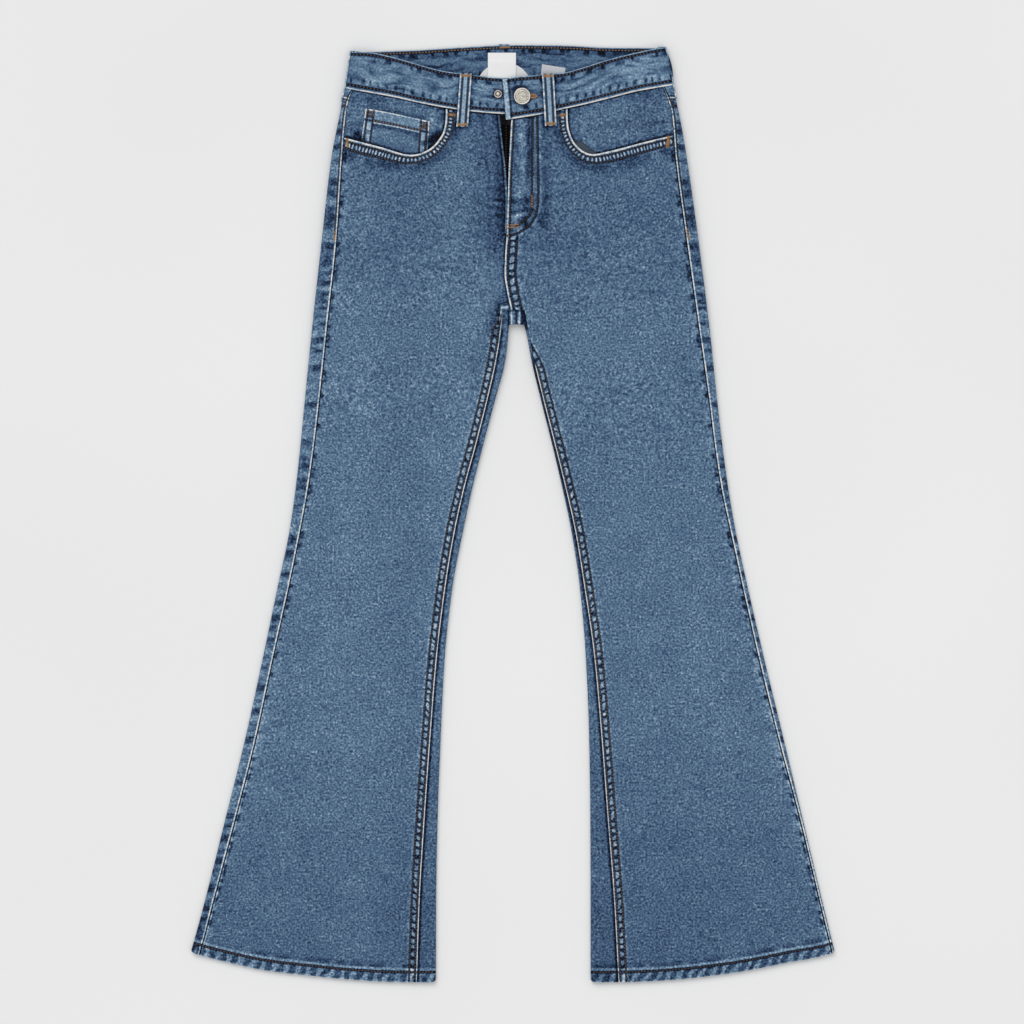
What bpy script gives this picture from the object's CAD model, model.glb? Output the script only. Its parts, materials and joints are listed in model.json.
"""Flared denim jeans, laid flat with the front up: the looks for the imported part.

Lengths in the tables are millimetres. +X is the wearer's left, +Y points to the waist, +Z is up.
"""
import json
import math

import bmesh
import bpy
import numpy as np
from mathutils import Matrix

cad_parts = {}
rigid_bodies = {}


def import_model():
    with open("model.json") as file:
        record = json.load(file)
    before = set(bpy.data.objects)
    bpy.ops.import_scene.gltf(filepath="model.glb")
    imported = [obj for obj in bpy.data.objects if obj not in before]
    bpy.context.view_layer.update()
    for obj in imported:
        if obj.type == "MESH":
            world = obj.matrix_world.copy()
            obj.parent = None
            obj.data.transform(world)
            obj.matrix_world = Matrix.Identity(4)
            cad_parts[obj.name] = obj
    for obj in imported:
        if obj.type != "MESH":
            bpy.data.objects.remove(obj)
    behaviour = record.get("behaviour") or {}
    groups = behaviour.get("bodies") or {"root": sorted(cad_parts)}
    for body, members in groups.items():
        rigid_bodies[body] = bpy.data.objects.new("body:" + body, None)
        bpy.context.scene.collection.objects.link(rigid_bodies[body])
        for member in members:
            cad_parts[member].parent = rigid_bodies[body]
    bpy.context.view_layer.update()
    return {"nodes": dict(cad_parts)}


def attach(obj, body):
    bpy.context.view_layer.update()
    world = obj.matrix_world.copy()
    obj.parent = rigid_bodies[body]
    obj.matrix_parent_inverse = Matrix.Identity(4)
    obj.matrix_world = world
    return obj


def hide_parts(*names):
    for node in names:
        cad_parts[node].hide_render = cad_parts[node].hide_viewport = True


for default in list(bpy.data.objects):
    bpy.data.objects.remove(default)
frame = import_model()

MM = 0.001
RIGHT, LEFT = -1, 1
WORD = {RIGHT: "right", LEFT: "left"}

# Sizes shared with the part. A wall, a gap, a depth or a raise is how much, and a Y or an X is a place
DENIM, BAND_WALL, HEM_WALL = 1.4, 2.4, 2.2
HEM_DEPTH, HEM_RAISE = 12.5, 0.6
SEAM_GAP, SEAM_STEP = 0.3, 0.6
FELL_WIDTH, FELL_RAISE, FELL_SLOPE = 9.5, 0.8, 2
REST_LIFT, BAND_TOP = 1.7, 9.4
CROTCH_Y, CROSS_SEAM_Y, HIP_Y = 212, 228.6, 300
FOLD_FADE, CENTRE_DIP = 24, 0.7
FLY_WIDTH, FLY_FOOT_Y, FLY_CORNER, FLY_RAISE = 31, 313, 30, 0.6
POCKET_HEM, POCKET_HEM_RAISE = 8.5, 0.5
LAP_RAISE, LAP_TO_X, LAP_FROM_X, LAP_END_LEAN = 2.7, 21, 32, 4
LIGHT_DENIM, FACING_DROP, FACING_DEPTH = 1.0, 3.1, 85
FACING_END = {RIGHT: -63, LEFT: 55}
COIN_SIDES, COIN_TOP, COIN_FOOT = [(-161.9, -173.2), (-91.7, -97.3)], 18.5, 70
LOOP_WALL, LOOP_HALF_WIDTH, LOOP_BULGE = 1.3, 6.6, 0.6
BAND_WIDTH = 42
# Rounds that settle where a row across the cloth meets an edge
SETTLE = 8
# How far each row of thread is from its seam or edge
FELL_ROWS, POCKET_ROWS, BAND_ROWS, LAP_ROW, HEM_ROW = (2.7, 9.0), (2.6, 8.3), (4.5, 39.2), 2.8, 11.3
YOKE_ROWS, COIN_ROWS, COIN_TOP_ROW = (1.6, 9.4), (2.6, 9.6), 12.3


def smooth(xs, ys):
    """A smooth curve through points, which never overshoots them and is level beyond its ends."""
    xs, ys = np.asarray(xs, float), np.asarray(ys, float)
    slope = np.diff(ys) / np.diff(xs)
    before, after = slope[:-1], slope[1:]
    turning = before * after <= 0
    mean = 2 * before * after / np.where(turning, 1, before + after)
    tangent = np.concatenate([slope[:1], np.where(turning, 0, mean), slope[-1:]])

    def at(x):
        x = np.clip(x, xs[0], xs[-1])
        i = np.clip(np.searchsorted(xs, x, side="right") - 1, 0, len(xs) - 2)
        h = xs[i + 1] - xs[i]
        t = (x - xs[i]) / h
        s = 1 - t
        return (
            (1 + 2 * t) * s * s * ys[i]
            + t * s * s * h * tangent[i]
            + t * t * (3 - 2 * t) * ys[i + 1]
            - t * t * s * h * tangent[i + 1]
        )

    return at


def tracks(names, rows):
    """A table with named columns becomes one smooth curve for each column, read by its first column."""
    rows = np.asarray(rows, float)
    return {name: smooth(rows[:, 0], rows[:, k + 1]) for k, name in enumerate(names.split()[1:])}


def lerp(a, b, t):
    return a + (b - a) * t


def ease(value, start, end):
    t = np.clip((np.asarray(value, float) - start) / (end - start), 0, 1)
    return t * t * (3 - 2 * t)


def bell(value, middle, width):
    return np.exp(-(((np.asarray(value, float) - middle) / width) ** 2))


# The outer fold and the outseam of each leg, and the inseam and the inner fold
SIDE = {
    RIGHT: tracks("y outer outseam", [
        (-524, -371, -361.5), (-485, -358.8, -349), (-430, -343.8, -334.5), (-340, -321.3, -310.6),
        (-250, -299.1, -287.8), (-160, -279.5, -268.5), (-80, -262.8, -250.7), (-20, -250.1, -238.5),
        (30, -242.9, -229.3), (80, -237.3, -222.3), (130, -232.5, -216.5), (212, -224.2, -207.8),
        (310, -213.4, -197.3), (400, -202.8, -191.2), (450, -193.1, -186.6), (465, -190.4, -183),
        (477, -187.4, -177),
    ]),
    LEFT: tracks("y outer outseam", [
        (-524, 369.8, 367.4), (-485, 359.6, 357.2), (-430, 346.1, 343.8), (-340, 324.7, 322.2),
        (-250, 303.3, 298.1), (-160, 281.5, 276), (-80, 263.1, 257.9), (-20, 250.2, 244.8),
        (30, 241.6, 234.2), (80, 234.8, 226.6), (130, 229.1, 220.4), (212, 220.3, 208.8),
        (310, 207.9, 195), (400, 195.1, 183), (450, 186.3, 178.6), (465, 182.8, 173.8),
        (480, 179.9, 167),
    ]),
}
INSIDE = {
    RIGHT: tracks("y inner inseam", [
        (-524, -85.9, -107), (-430, -85.6, -103.7), (-340, -83.9, -98.2), (-250, -80.5, -91.8),
        (-160, -75.9, -84.5), (-80, -67, -74.7), (-20, -55.6, -64.6), (30, -44.8, -53.5),
        (80, -32.1, -40), (130, -18.9, -27.4), (170, -8.4, -18.4), (195, -5.2, -14.2), (230, -3, -10.1),
    ]),
    LEFT: tracks("y inner inseam", [
        (-524, 87.5, 118.6), (-430, 87.5, 113.5), (-340, 87.2, 106.4), (-250, 85.9, 99.5),
        (-160, 82.1, 91.4), (-80, 75.2, 80), (-20, 66.1, 70.2), (30, 55.7, 59), (80, 43.9, 46.6),
        (130, 31.3, 33.9), (170, 21.7, 24.4), (195, 17, 19.7), (230, 9, 13.1),
    ]),
}
CENTRE_BACK = tracks("y seam", [(212, 4), (300, 0), (420, -6), (526, -9.5)])["seam"]
CENTRE_FRONT = tracks("y left right", [
    (229, -1.7, -2), (250, -6.2, -6.5), (269, -8.8, -9.1), (289, -8.2, -8.5), (320, -6.2, -6.5),
    (345, -5.5, -5.9), (388, -4.1, -8), (410, -3, -10.6), (450, -0.8, -15),
])
HEIGHT = tracks("y lift fold middle", [
    (-524, 0, 5.2, 4.6), (-250, 0, 5.2, 4.4), (-80, 0, 5.6, 4.4), (60, 0, 6.2, 4.9),
    (120, 0, 6.8, 5.6), (165, 0.8, 7.6, 6.5), (212, REST_LIFT, 8.4, 7.2), (300, REST_LIFT, 9, 8.3),
    (350, REST_LIFT, BAND_TOP, 8.8), (526, REST_LIFT, BAND_TOP, 8.8),
])
FRONT_BAND = {
    RIGHT: tracks("x low high", [
        (-187, 477, 518), (-176, 474.8, 517.6), (-161, 472.1, 517), (-134, 467.2, 511.7),
        (-107, 461.2, 503.9), (-80, 455.9, 496.6), (-58, 452.5, 493.2), (-36, 450, 490.6),
        (-12, 448.3, 488.4), (17, 448, 488),
    ]),
    LEFT: tracks("x low high", [
        (-12, 441.2, 486.4), (-8, 441.5, 487), (2, 442.8, 489.2), (34, 448.2, 491.9),
        (56, 453.4, 493.9), (83, 459.3, 501.3), (110, 466, 509.6), (137, 472.9, 516.3),
        (165, 478, 522), (180, 480.5, 523.5),
    ]),
}
BACK_BAND = tracks("x low high", [
    (-187, 477, 518), (-176, 474.8, 517.6), (-110, 479, 519.3), (-55, 482.5, 522.8),
    (0, 484.3, 525.3), (55, 483, 524.8), (110, 481, 522.3), (165, 478, 522), (180, 480.5, 523.5),
])
BAND_FOLD = {
    RIGHT: {"low_x": -187.2, "low_y": 477, "high_x": -181, "high_y": 517.8},
    LEFT: {"low_x": 179.9, "low_y": 480.5, "high_x": 171.2, "high_y": 522.4},
}
BAND_BULGE = {RIGHT: 0, LEFT: 3}
POCKET_EDGE = {
    RIGHT: [(-187.4, 421.6), (-148.2, 411.3), (-115, 402.3), (-93, 408.3), (-79, 424), (-74.9, 438.3),
            (-74.3, 454.6)],
    LEFT: [(179.4, 424.2), (148.8, 416.9), (108.1, 406.3), (86, 403.2), (70.5, 413.5), (63.6, 428),
           (61.6, 441), (61.4, 454.4)],
}


def hem(x):
    """The hem's line, which rises to the outer folds and droops a little close to them."""
    droop = 2.6 * ease(-x, 215, 290) + 3 * ease(x, 300, 350)
    return -524.6 + 36 * (np.maximum(0, np.abs(x) - 105) / 255) ** 2.1 - droop


def yoke_seam(x):
    return lerp(415, 455, np.minimum(1, np.abs(x - CENTRE_BACK(415)) / 182))


def inner_edge(side, y):
    return np.where(y < CROTCH_Y, INSIDE[side]["inner"](y), CENTRE_BACK(y) + side * SEAM_GAP / 2)


def by_fold(d, y):
    """The upper face at a distance d from a fold: round at the edge, then easing down to the middle."""
    lift, top = HEIGHT["lift"](y), HEIGHT["fold"](y)
    radius = (top - lift) / 2
    reach = radius - np.clip(d, 0, radius)
    rounded = lift + radius + np.sqrt(np.maximum(0, radius**2 - reach**2))
    t = np.clip((d - radius) / FOLD_FADE, 0, 1)
    return np.where(d < radius, rounded, lerp(top, HEIGHT["middle"](y), t * t * (3 - 2 * t)))


def top_at(side, x, y):
    out = side * (SIDE[side]["outer"](y) - x)
    inward = side * (x - inner_edge(side, y))
    near = np.where((out < FOLD_FADE * 2) | (y > CROSS_SEAM_Y), out, np.minimum(out, inward))
    dip = CENTRE_DIP * ease(y, HIP_Y - 20, HIP_Y + 40) * (1 - ease(np.abs(x), 40, 58))
    return by_fold(near, y) - dip


HASH_START, HASH_SALT, HASH_STEP = 1469598103934665603, 0x9E3779B97F4A7C15, 1099511628211


def hashed(*keys):
    """A repeatable number from 0 to 1 for each set of whole numbers."""
    h = np.zeros(np.broadcast(*keys).shape, np.uint64) + np.uint64(HASH_START)
    for key in keys:
        key = np.asarray(key, np.int64).astype(np.uint64) + np.uint64(HASH_SALT)
        h = (h ^ key) * np.uint64(HASH_STEP)
        h ^= h >> np.uint64(29)
    return (h >> np.uint64(40)).astype(float) / float(1 << 24)


def noise(x, y, seed):
    """Smooth noise from -1 to 1 with features about 1 wide."""
    x, y = np.asarray(x, float), np.asarray(y, float)
    i, j = np.floor(x), np.floor(y)
    u, v = ease(x - i, 0, 1), ease(y - j, 0, 1)
    at = lambda a, b: hashed(i + a, j + b, seed + 0 * i)
    return 2 * lerp(lerp(at(0, 0), at(1, 0), u), lerp(at(0, 1), at(1, 1), u), v) - 1


# Rows across the legs: y = (1 - v) (hem + off) + v at
def leg_rows(step=2.5):
    hem_offsets = [0, 0.5, 1.3, 3, 5, 7, 9, 10.7, 11.7, HEM_DEPTH, 13.5, HEM_DEPTH + 2]
    rows = [(off, 0.0, 0.0) for off in hem_offsets]
    rows += [(HEM_DEPTH + 2, v, -400.0) for v in np.linspace(0, 1, 44)[1:]]
    straight = np.arange(-400 + step, CROSS_SEAM_Y - 1, step)
    straight = np.sort(np.concatenate([straight[straight != 212.5], [211.4, 211.9, 212.3, 213]]))
    rows += [(0.0, 1.0, y) for y in straight] + [(0.0, 1.0, CROSS_SEAM_Y)]
    return np.array(rows)


def hem_corner(x):
    """The hem's corners are round at all four folds."""
    outer = np.where(x < 0, x + 360.6, 361.4 - x)
    inner = np.where(x < 0, -85.9 - x, x - 87.5)
    return 4.5 * (1 - np.sqrt(1 - np.clip(1 - np.minimum(outer, inner) / 4.5, 0, 1) ** 2))


def row_y(rows, x):
    off, v, at = rows.T if x.ndim == 1 else rows.T[:, :, None]
    return lerp(hem(x) + off + hem_corner(x) * np.clip(1 - off / 12, 0, 1), at, v)


def crossing(rows, track):
    y = lerp(-500.0, rows[:, 2], rows[:, 1])
    for _ in range(SETTLE):
        y = row_y(rows, track(y))
    return track(y), y


def wall(outer, inner, keep=None):
    """Points and faces of a closed wall between two grids of points, over the cells that are kept."""
    rows, cols = outer.shape[:2]
    n = rows * cols
    index = np.arange(n).reshape(rows, cols)
    keep = np.ones((rows - 1, cols - 1), bool) if keep is None else keep
    a, b, c, d = index[:-1, :-1], index[:-1, 1:], index[1:, 1:], index[1:, :-1]
    faces = [np.stack([a, b, c, d], -1)[keep], np.stack([a, d, c, b], -1)[keep] + n]
    around = np.pad(keep, 1)
    for dr, dc, p, q in ((-1, 0, b, a), (1, 0, d, c), (0, -1, a, d), (0, 1, c, b)):
        beyond = around[1 + dr : rows + dr, 1 + dc : cols + dc]
        rim = keep & ~beyond
        faces.append(np.stack([p[rim], q[rim], q[rim] + n, p[rim] + n], -1))
    points = np.concatenate([outer.reshape(-1, 3), inner.reshape(-1, 3)])
    faces = np.concatenate(faces)
    corners = points[faces]
    volume = (corners[:, 0] * np.cross(corners[:, 1], corners[:, 2])).sum()
    volume += (corners[:, 0] * np.cross(corners[:, 2], corners[:, 3])).sum()
    return points, faces if volume > 0 else faces[:, ::-1]


def piece(name, points, faces, material, node=None, attributes=None, sharp=None):
    """A mesh object that rides on the body, with the numbers that its material reads at each point."""
    mesh = bpy.data.meshes.new(name)
    mesh.from_pydata((points * MM).tolist(), [], faces)
    for key, values in (attributes or {}).items():
        kind, field = ("FLOAT", "value") if np.ndim(values) == 1 else ("FLOAT_VECTOR", "vector")
        mesh.attributes.new(key, kind, "POINT").data.foreach_set(field, np.ravel(values).astype(float))
    mesh.polygons.foreach_set("use_smooth", [True] * len(mesh.polygons))
    if sharp:
        mesh.set_sharp_from_angle(angle=math.radians(sharp))
    mesh.materials.append(material)
    mesh.update()
    obj = bpy.data.objects.new(name, mesh)
    bpy.context.scene.collection.objects.link(obj)
    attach(obj, "root")
    if node:
        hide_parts(node)
    return obj


def cloth(node, material, made):
    """A piece of cloth in place of its node, without stray points, and the size it is cut to."""
    points, faces, attributes = made
    used, order = np.unique(faces, return_inverse=True)
    attributes = {key: values[used] for key, values in attributes.items()}
    faces = order.reshape(faces.shape).tolist()
    sheet = piece(f"{node}_cloth", points[used], faces, material, node, attributes, 50)


def along(s, d, w=1.0):
    """A seam's coordinates for the material: along it, away from it, and how much it counts."""
    s, d, w = np.broadcast_arrays(s, d, w)
    return np.stack([s, d, w], -1).reshape(-1, 3)


def twice(values):
    """The same values for a wall's outer and inner points."""
    return np.concatenate([values, values])


def lengths(points):
    """How far each point of a chain is from its start, along it."""
    return np.concatenate([[0], np.cumsum(np.hypot(*np.diff(points, axis=0).T))])


def along_chain(points, distances):
    """The points of a chain at some distances from its start."""
    arcs = lengths(points)
    return np.stack([np.interp(distances, arcs, points[:, k]) for k in (0, 1)], -1)


def nearest(points, x, y):
    """The distance from a chain of points, the length along it, and 1 on its left or -1 on its right."""
    points = np.asarray(points, float)
    best, arc, hand = np.full(np.shape(x), 1e9), np.zeros(np.shape(x)), np.ones(np.shape(x))
    start = 0.0
    for (ax, ay), (bx, by) in zip(points[:-1], points[1:]):
        length = math.hypot(bx - ax, by - ay)
        t = np.clip(((x - ax) * (bx - ax) + (y - ay) * (by - ay)) / length**2, 0, 1)
        d = np.hypot(x - lerp(ax, bx, t), y - lerp(ay, by, t))
        left = (bx - ax) * (y - ay) - (by - ay) * (x - ax) > 0
        closer = d < best
        best, arc = np.where(closer, d, best), np.where(closer, start + t * length, arc)
        hand = np.where(closer, np.where(left, 1, -1), hand)
        start += length
    return best, arc, hand


def signed_distance(points, x, y):
    """The distance from a chain of points, negative on the right of its direction."""
    d, _, hand = nearest(points, x, y)
    return d * hand


def fell_scale(side, y):
    """At the crotch the right inseam's felled band narrows."""
    return 1 + 1.5 * ease(y, 205, 228) * (side == RIGHT)


def fell_shift(side, y):
    """Close to the crotch the left inseam's felled band slips round the fold."""
    return 11 * ease(y, 160, 203) * (side == LEFT)


def spline(points, steps=40):
    """A smooth chain of points through a few given ones."""
    points = np.asarray(points, float)
    arcs = lengths(points)
    padded = np.concatenate([[2 * points[0] - points[1]], points, [2 * points[-1] - points[-2]]])
    out = []
    for s in np.linspace(0, arcs[-1], steps + 1):
        i = min(int(np.searchsorted(arcs, s, side="right")) - 1, len(points) - 2)
        t = (s - arcs[i]) / (arcs[i + 1] - arcs[i])
        p0, p1, p2, p3 = padded[i : i + 4]
        cubic = (2 * p0 - 5 * p1 + 4 * p2 - p3) * t**2 + (3 * p1 - p0 - 3 * p2 + p3) * t**3
        out.append(0.5 * (2 * p1 + (p2 - p0) * t + cubic))
    return np.array(out)


POCKET = {side: spline(POCKET_EDGE[side]) for side in (RIGHT, LEFT)}
# The opening's hem is wider in the middle of the edge than where it rises to the waist
POCKET_WIDER = {
    RIGHT: smooth([0, 14, 40, 56, 75, 95], [1.25, 1.5, 1.45, 1.35, 1.15, 1]),
    LEFT: smooth([0, 31, 73, 95, 112], [1.2, 1.28, 1.35, 1.15, 1]),
}
# The two rows of thread that turn below the fly
J_OUTER = spline([
    (27.8, 450), (28.8, 368.5), (27.8, 342.7), (22.8, 328.5), (12.8, 318.5), (2.8, 313.6), (-4.1, 311.5),
], 60)
J_INNER = spline([
    (22.8, 450), (21.8, 368.5), (22, 343.8), (18.8, 334.4), (12.8, 328.5), (6.8, 323.5), (2.5, 321.5),
], 50)
# A loop's top and foot, then the back pockets, and the middle and radius of the button and the tack
FRONT_LOOPS = {RIGHT: (-52.1, 493.4, -56.3, 433.5), LEFT: (39.7, 493.2, 42.9, 434.6)}
BACK_POCKET = {
    "x": 106, "y": 322, "width": 134, "tall": 142, "taper": 8, "point": 16, "turn": 5, "corner": 3,
}
BUTTON = (10.8, 467.8, 9.8)
WAIST_TACK = (-16.2, 470.4, 5.0)


def offset_line(points, distance):
    """The same chain moved sideways, to the left of its direction, by one distance for each point."""
    step = np.gradient(points, axis=0)
    normal = np.stack([-step[:, 1], step[:, 0]], -1) / np.hypot(*step.T)[:, None]
    return points + normal * distance[:, None]


def pocket_place(side, x, y):
    """The distance from the opening's edge as if its hem were even, and the length along the edge."""
    d, s, _ = nearest(POCKET[side], x, y)
    return d / POCKET_WIDER[side](s), s


def lap_raise(x, y):
    """The fly and the front rise stand up from the left front, which laps over the right one."""
    across = x - CENTRE_FRONT["left"](y)
    rise = FELL_RAISE * (1 - ease(across, FELL_WIDTH, FELL_WIDTH + FELL_SLOPE))
    corner = np.maximum(0, FLY_FOOT_Y + FLY_CORNER - y) / FLY_CORNER
    width = FLY_WIDTH * np.sqrt(np.maximum(0, 1 - corner**2))
    t = np.clip((across - width) / FELL_SLOPE, 0, 1)
    fly = np.where(width > 0, FLY_RAISE * (1 - t * t * (3 - 2 * t)), 0)
    return np.maximum(rise, fly)


# Soft troughs and ridges: where each starts and ends, how wide and high it is
CREASES = [
    # x0, y0, x1, y1, width, height
    (-205, 300, -150, 262, 9, -0.30), (-212, 245, -165, 228, 8, 0.25), (-30, 226, -95, 186, 9, -0.45),
    (-22, 215, -70, 150, 8, 0.35), (-34, 240, -120, 232, 10, 0.30), (-45, 196, -105, 130, 10, -0.25),
    (20, 226, 82, 190, 9, -0.45), (22, 212, 62, 148, 8, 0.35), (26, 242, 110, 236, 10, 0.30),
    (38, 190, 95, 120, 10, -0.25), (196, 296, 150, 258, 9, -0.28), (212, 236, 170, 214, 8, 0.24),
    (-240, 60, -196, 40, 8, -0.22), (238, 70, 200, 46, 8, -0.22), (-60, 20, -110, -8, 9, -0.22),
    (66, 24, 118, -4, 9, -0.22), (-268, -110, -214, -130, 9, 0.2), (272, -120, 220, -138, 9, 0.2),
    (-88, -250, -140, -268, 9, -0.2), (96, -262, 150, -280, 9, -0.2), (-322, -360, -268, -372, 10, 0.2),
    (326, -372, 280, -384, 10, 0.2), (-40, 430, -70, 380, 9, 0.3), (40, 425, 72, 372, 9, 0.28),
    (-120, 395, -180, 372, 9, -0.25), (112, 394, 172, 374, 9, -0.25), (-12, 436, -26, 300, 8, -0.55),
    (-20, 420, -44, 340, 7, 0.3), (36, 436, 34, 330, 5, -0.25),
]


def creases(x, y):
    total = np.zeros(np.shape(x))
    for x0, y0, x1, y1, width, height in CREASES:
        length = math.hypot(x1 - x0, y1 - y0)
        ux, uy = (x1 - x0) / length, (y1 - y0) / length
        s = ((x - x0) * ux + (y - y0) * uy) / length
        bend = 0.12 * length * np.sin(math.pi * np.clip(s, 0, 1))
        d = (y - y0) * ux - (x - x0) * uy + bend
        total += height * bell(d, 0, width) * ease(s, -0.25, 0.2) * (1 - ease(s, 0.6, 1.25))
    return total


def ripple(x, y, seed):
    """The slight unevenness of cloth that lies flat."""
    return 0.16 * noise(x / 46, y / 60, seed) + 0.10 * noise(x / 17 + y / 60, y / 26, seed + 3)


def hidden_relief(x, y):
    """The underside lies flat but for soft hollows, as uneven as the front."""
    return 0.2 * (1 + noise(x / 44, y / 58, 51)) + 0.1 * (1 + noise(x / 16 + y / 50, y / 25, 52))


# Short soft creases, pale or dark, in the placket and where the seams meet at the crotch
FRONT_MARKS = [
    # x0, y0, x1, y1, width, amount
    (0.6, 333.4, 15.5, 336.4, 1.9, 0.36), (1, 337.4, 18, 341, 2.6, -0.28), (-1, 350, 20, 351, 3.6, -0.24),
    (2, 356, 12, 353.5, 1.9, 0.16), (-1, 440, 9, 441.5, 1.8, 0.3), (10, 424, 17, 408, 2.8, 0.16),
    (3, 415, 9, 399, 2.6, -0.2), (4, 392, 10, 366, 3, -0.16), (12, 398, 14, 362, 3.2, 0.16),
    (18, 432, 20, 380, 2.6, -0.18), (20, 340, 12, 327, 2.4, -0.14), (-13.6, 219, -12.2, 230, 1.3, 0.5),
    (-12.2, 231, -5.5, 231.8, 1.3, 0.5), (-16.5, 222, -15.5, 233, 1.5, -0.3),
    (-15.5, 235, -5, 235.8, 1.5, -0.26),
    (24, 339, 31, 330, 3, -0.16), (10, 329, 20, 321, 3.4, -0.24), (-19, 352, -11, 351, 1.8, -0.2),
    (-20, 343, -11, 341.5, 1.6, -0.2), (-18, 335, -11, 332, 1.6, -0.16), (-19, 362, -11, 362.5, 1.8, -0.16),
    (35, 352, 42, 356, 2.4, -0.12), (33, 336, 42, 334, 2.4, -0.14), (30, 328, 38, 322, 2.6, -0.16),
]
# And in the facings and the coin pocket
FACING_MARKS = [
    # x0, y0, x1, y1, width, amount
    (-180, 463.5, -143, 462.5, 2.4, -0.16), (-160, 457, -99, 443, 3, -0.2),
    (-95, 416, -83, 425, 5.5, -0.5),
    (-174, 426, -168, 418, 3.6, -0.45), (-92, 443.5, -81, 433.5, 2.2, 0.1),
    (-187, 424.5, -180, 427, 1.8, 0.14), (-108.5, 422.5, -107, 420.5, 2.6, -0.22),
    (-140, 470, -120, 459, 3, 0.06), (152, 470, 168, 455, 2.6, -0.1),
    (84, 430, 130, 436, 3, -0.07), (160, 447, 174, 450, 2, 0.1), (148, 436, 172, 440, 2, -0.08),
]


def marks(table, x, y):
    """How light or dark a table's marks make each point."""
    total = np.zeros(np.shape(x))
    for x0, y0, x1, y1, width, amount in table:
        total += amount * bell(nearest([(x0, y0), (x1, y1)], x, y)[0], 0, width)
    return total


def fade(x, y, front=1.0):
    """How much lighter the wash is: darker at the hips and hems, and on the front by the fly and crotch."""
    inseam_y = np.minimum(y, 200)
    right = 0.5 * (SIDE[RIGHT]["outseam"](y) + INSIDE[RIGHT]["inseam"](inseam_y))
    left = 0.5 * (SIDE[LEFT]["outseam"](y) + INSIDE[LEFT]["inseam"](inseam_y))
    middle = np.where(x < 0, right, left)
    value = 0.02 * (x > 0) * bell(x - middle, 0, 60) * ease(y, -330, -120) * (1 - ease(y, 200, 300))
    value -= 0.07 * (1 - ease(y, -520, -180)) + 0.035 * ease(y, 210, 300)
    by_fly = ease(y, 268, 330)
    beside = 0.2 * bell(x, -12, 9) + 0.07 * bell(x, -26, 22)
    beside += 0.1 * bell(x, 37, 6) + 0.05 * bell(x, 10, 14)
    value -= front * beside * by_fly
    value -= front * 0.24 * bell(x + 0.25 * (215 - y) + 18, 0, 8) * bell(y, 218, 26)
    return value + front * marks(FRONT_MARKS, x, y) + 0.025 * noise(x / 60 + 7, y / 80, 5)


def shaded(x, y):
    """The dark line on cloth round what lies on it: the belt loops, the button and the tack."""
    shade = np.zeros(np.shape(x))
    for top_x, top_y, foot_x, foot_y in FRONT_LOOPS.values():
        v = np.clip((y - foot_y) / (top_y - foot_y), 0, 1)
        across = np.maximum(0, np.abs(x - lerp(foot_x, top_x, v)) - LOOP_HALF_WIDTH)
        beyond = np.maximum(0, foot_y - y) + np.maximum(0, y - top_y)
        shade = np.maximum(shade, np.exp(-np.hypot(across, beyond) / 1.9))
    for at_x, at_y, radius in (BUTTON, WAIST_TACK):
        shade = np.maximum(shade, np.exp(-np.maximum(0, np.hypot(x - at_x, y - at_y) - radius) / 1.3))
    return -0.4 * shade


def cloth_top(side, x, y, front=True):
    """The front's upper face with its raised seams, hems and soft creases."""
    z = top_at(side, x, y)
    if front:
        z = z + creases(x, y) * ease(side * (SIDE[side]["outseam"](y) - x), 0, 14) + ripple(x, y, 11)
    over_hem = y - hem(x)
    z = z + HEM_RAISE * (1 - ease(over_hem, HEM_DEPTH, HEM_DEPTH + 1.6))
    return z - 0.9 * (1 - ease(over_hem, -0.4, 1.6))


def front_top(side, x, y):
    z = cloth_top(side, x, y)
    inseam = side * (x - INSIDE[side]["inseam"](y))
    fell = FELL_RAISE * (1 - ease(inseam, FELL_WIDTH - 0.6, FELL_WIDTH + 1))
    fell *= 1 - 0.5 * bell(inseam, 1.6, 0.9) - 0.5 * bell(inseam, 8, 0.9)
    z = z + np.where(y < CROSS_SEAM_Y + 0.3, fell, lap_raise(x, y) if side == LEFT else 0)
    near, _ = pocket_place(side, x, y)
    opening = POCKET_HEM_RAISE * (1 - ease(near, POCKET_HEM, POCKET_HEM + 1.4)) * (y > 370)
    z = z + opening - 0.35 * (1 - ease(near, 0, 1.4)) * (y > 370)
    seam = side * (SIDE[side]["outseam"](y) - x)
    return z - 0.25 * bell(seam, 0, 1.0)


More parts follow.
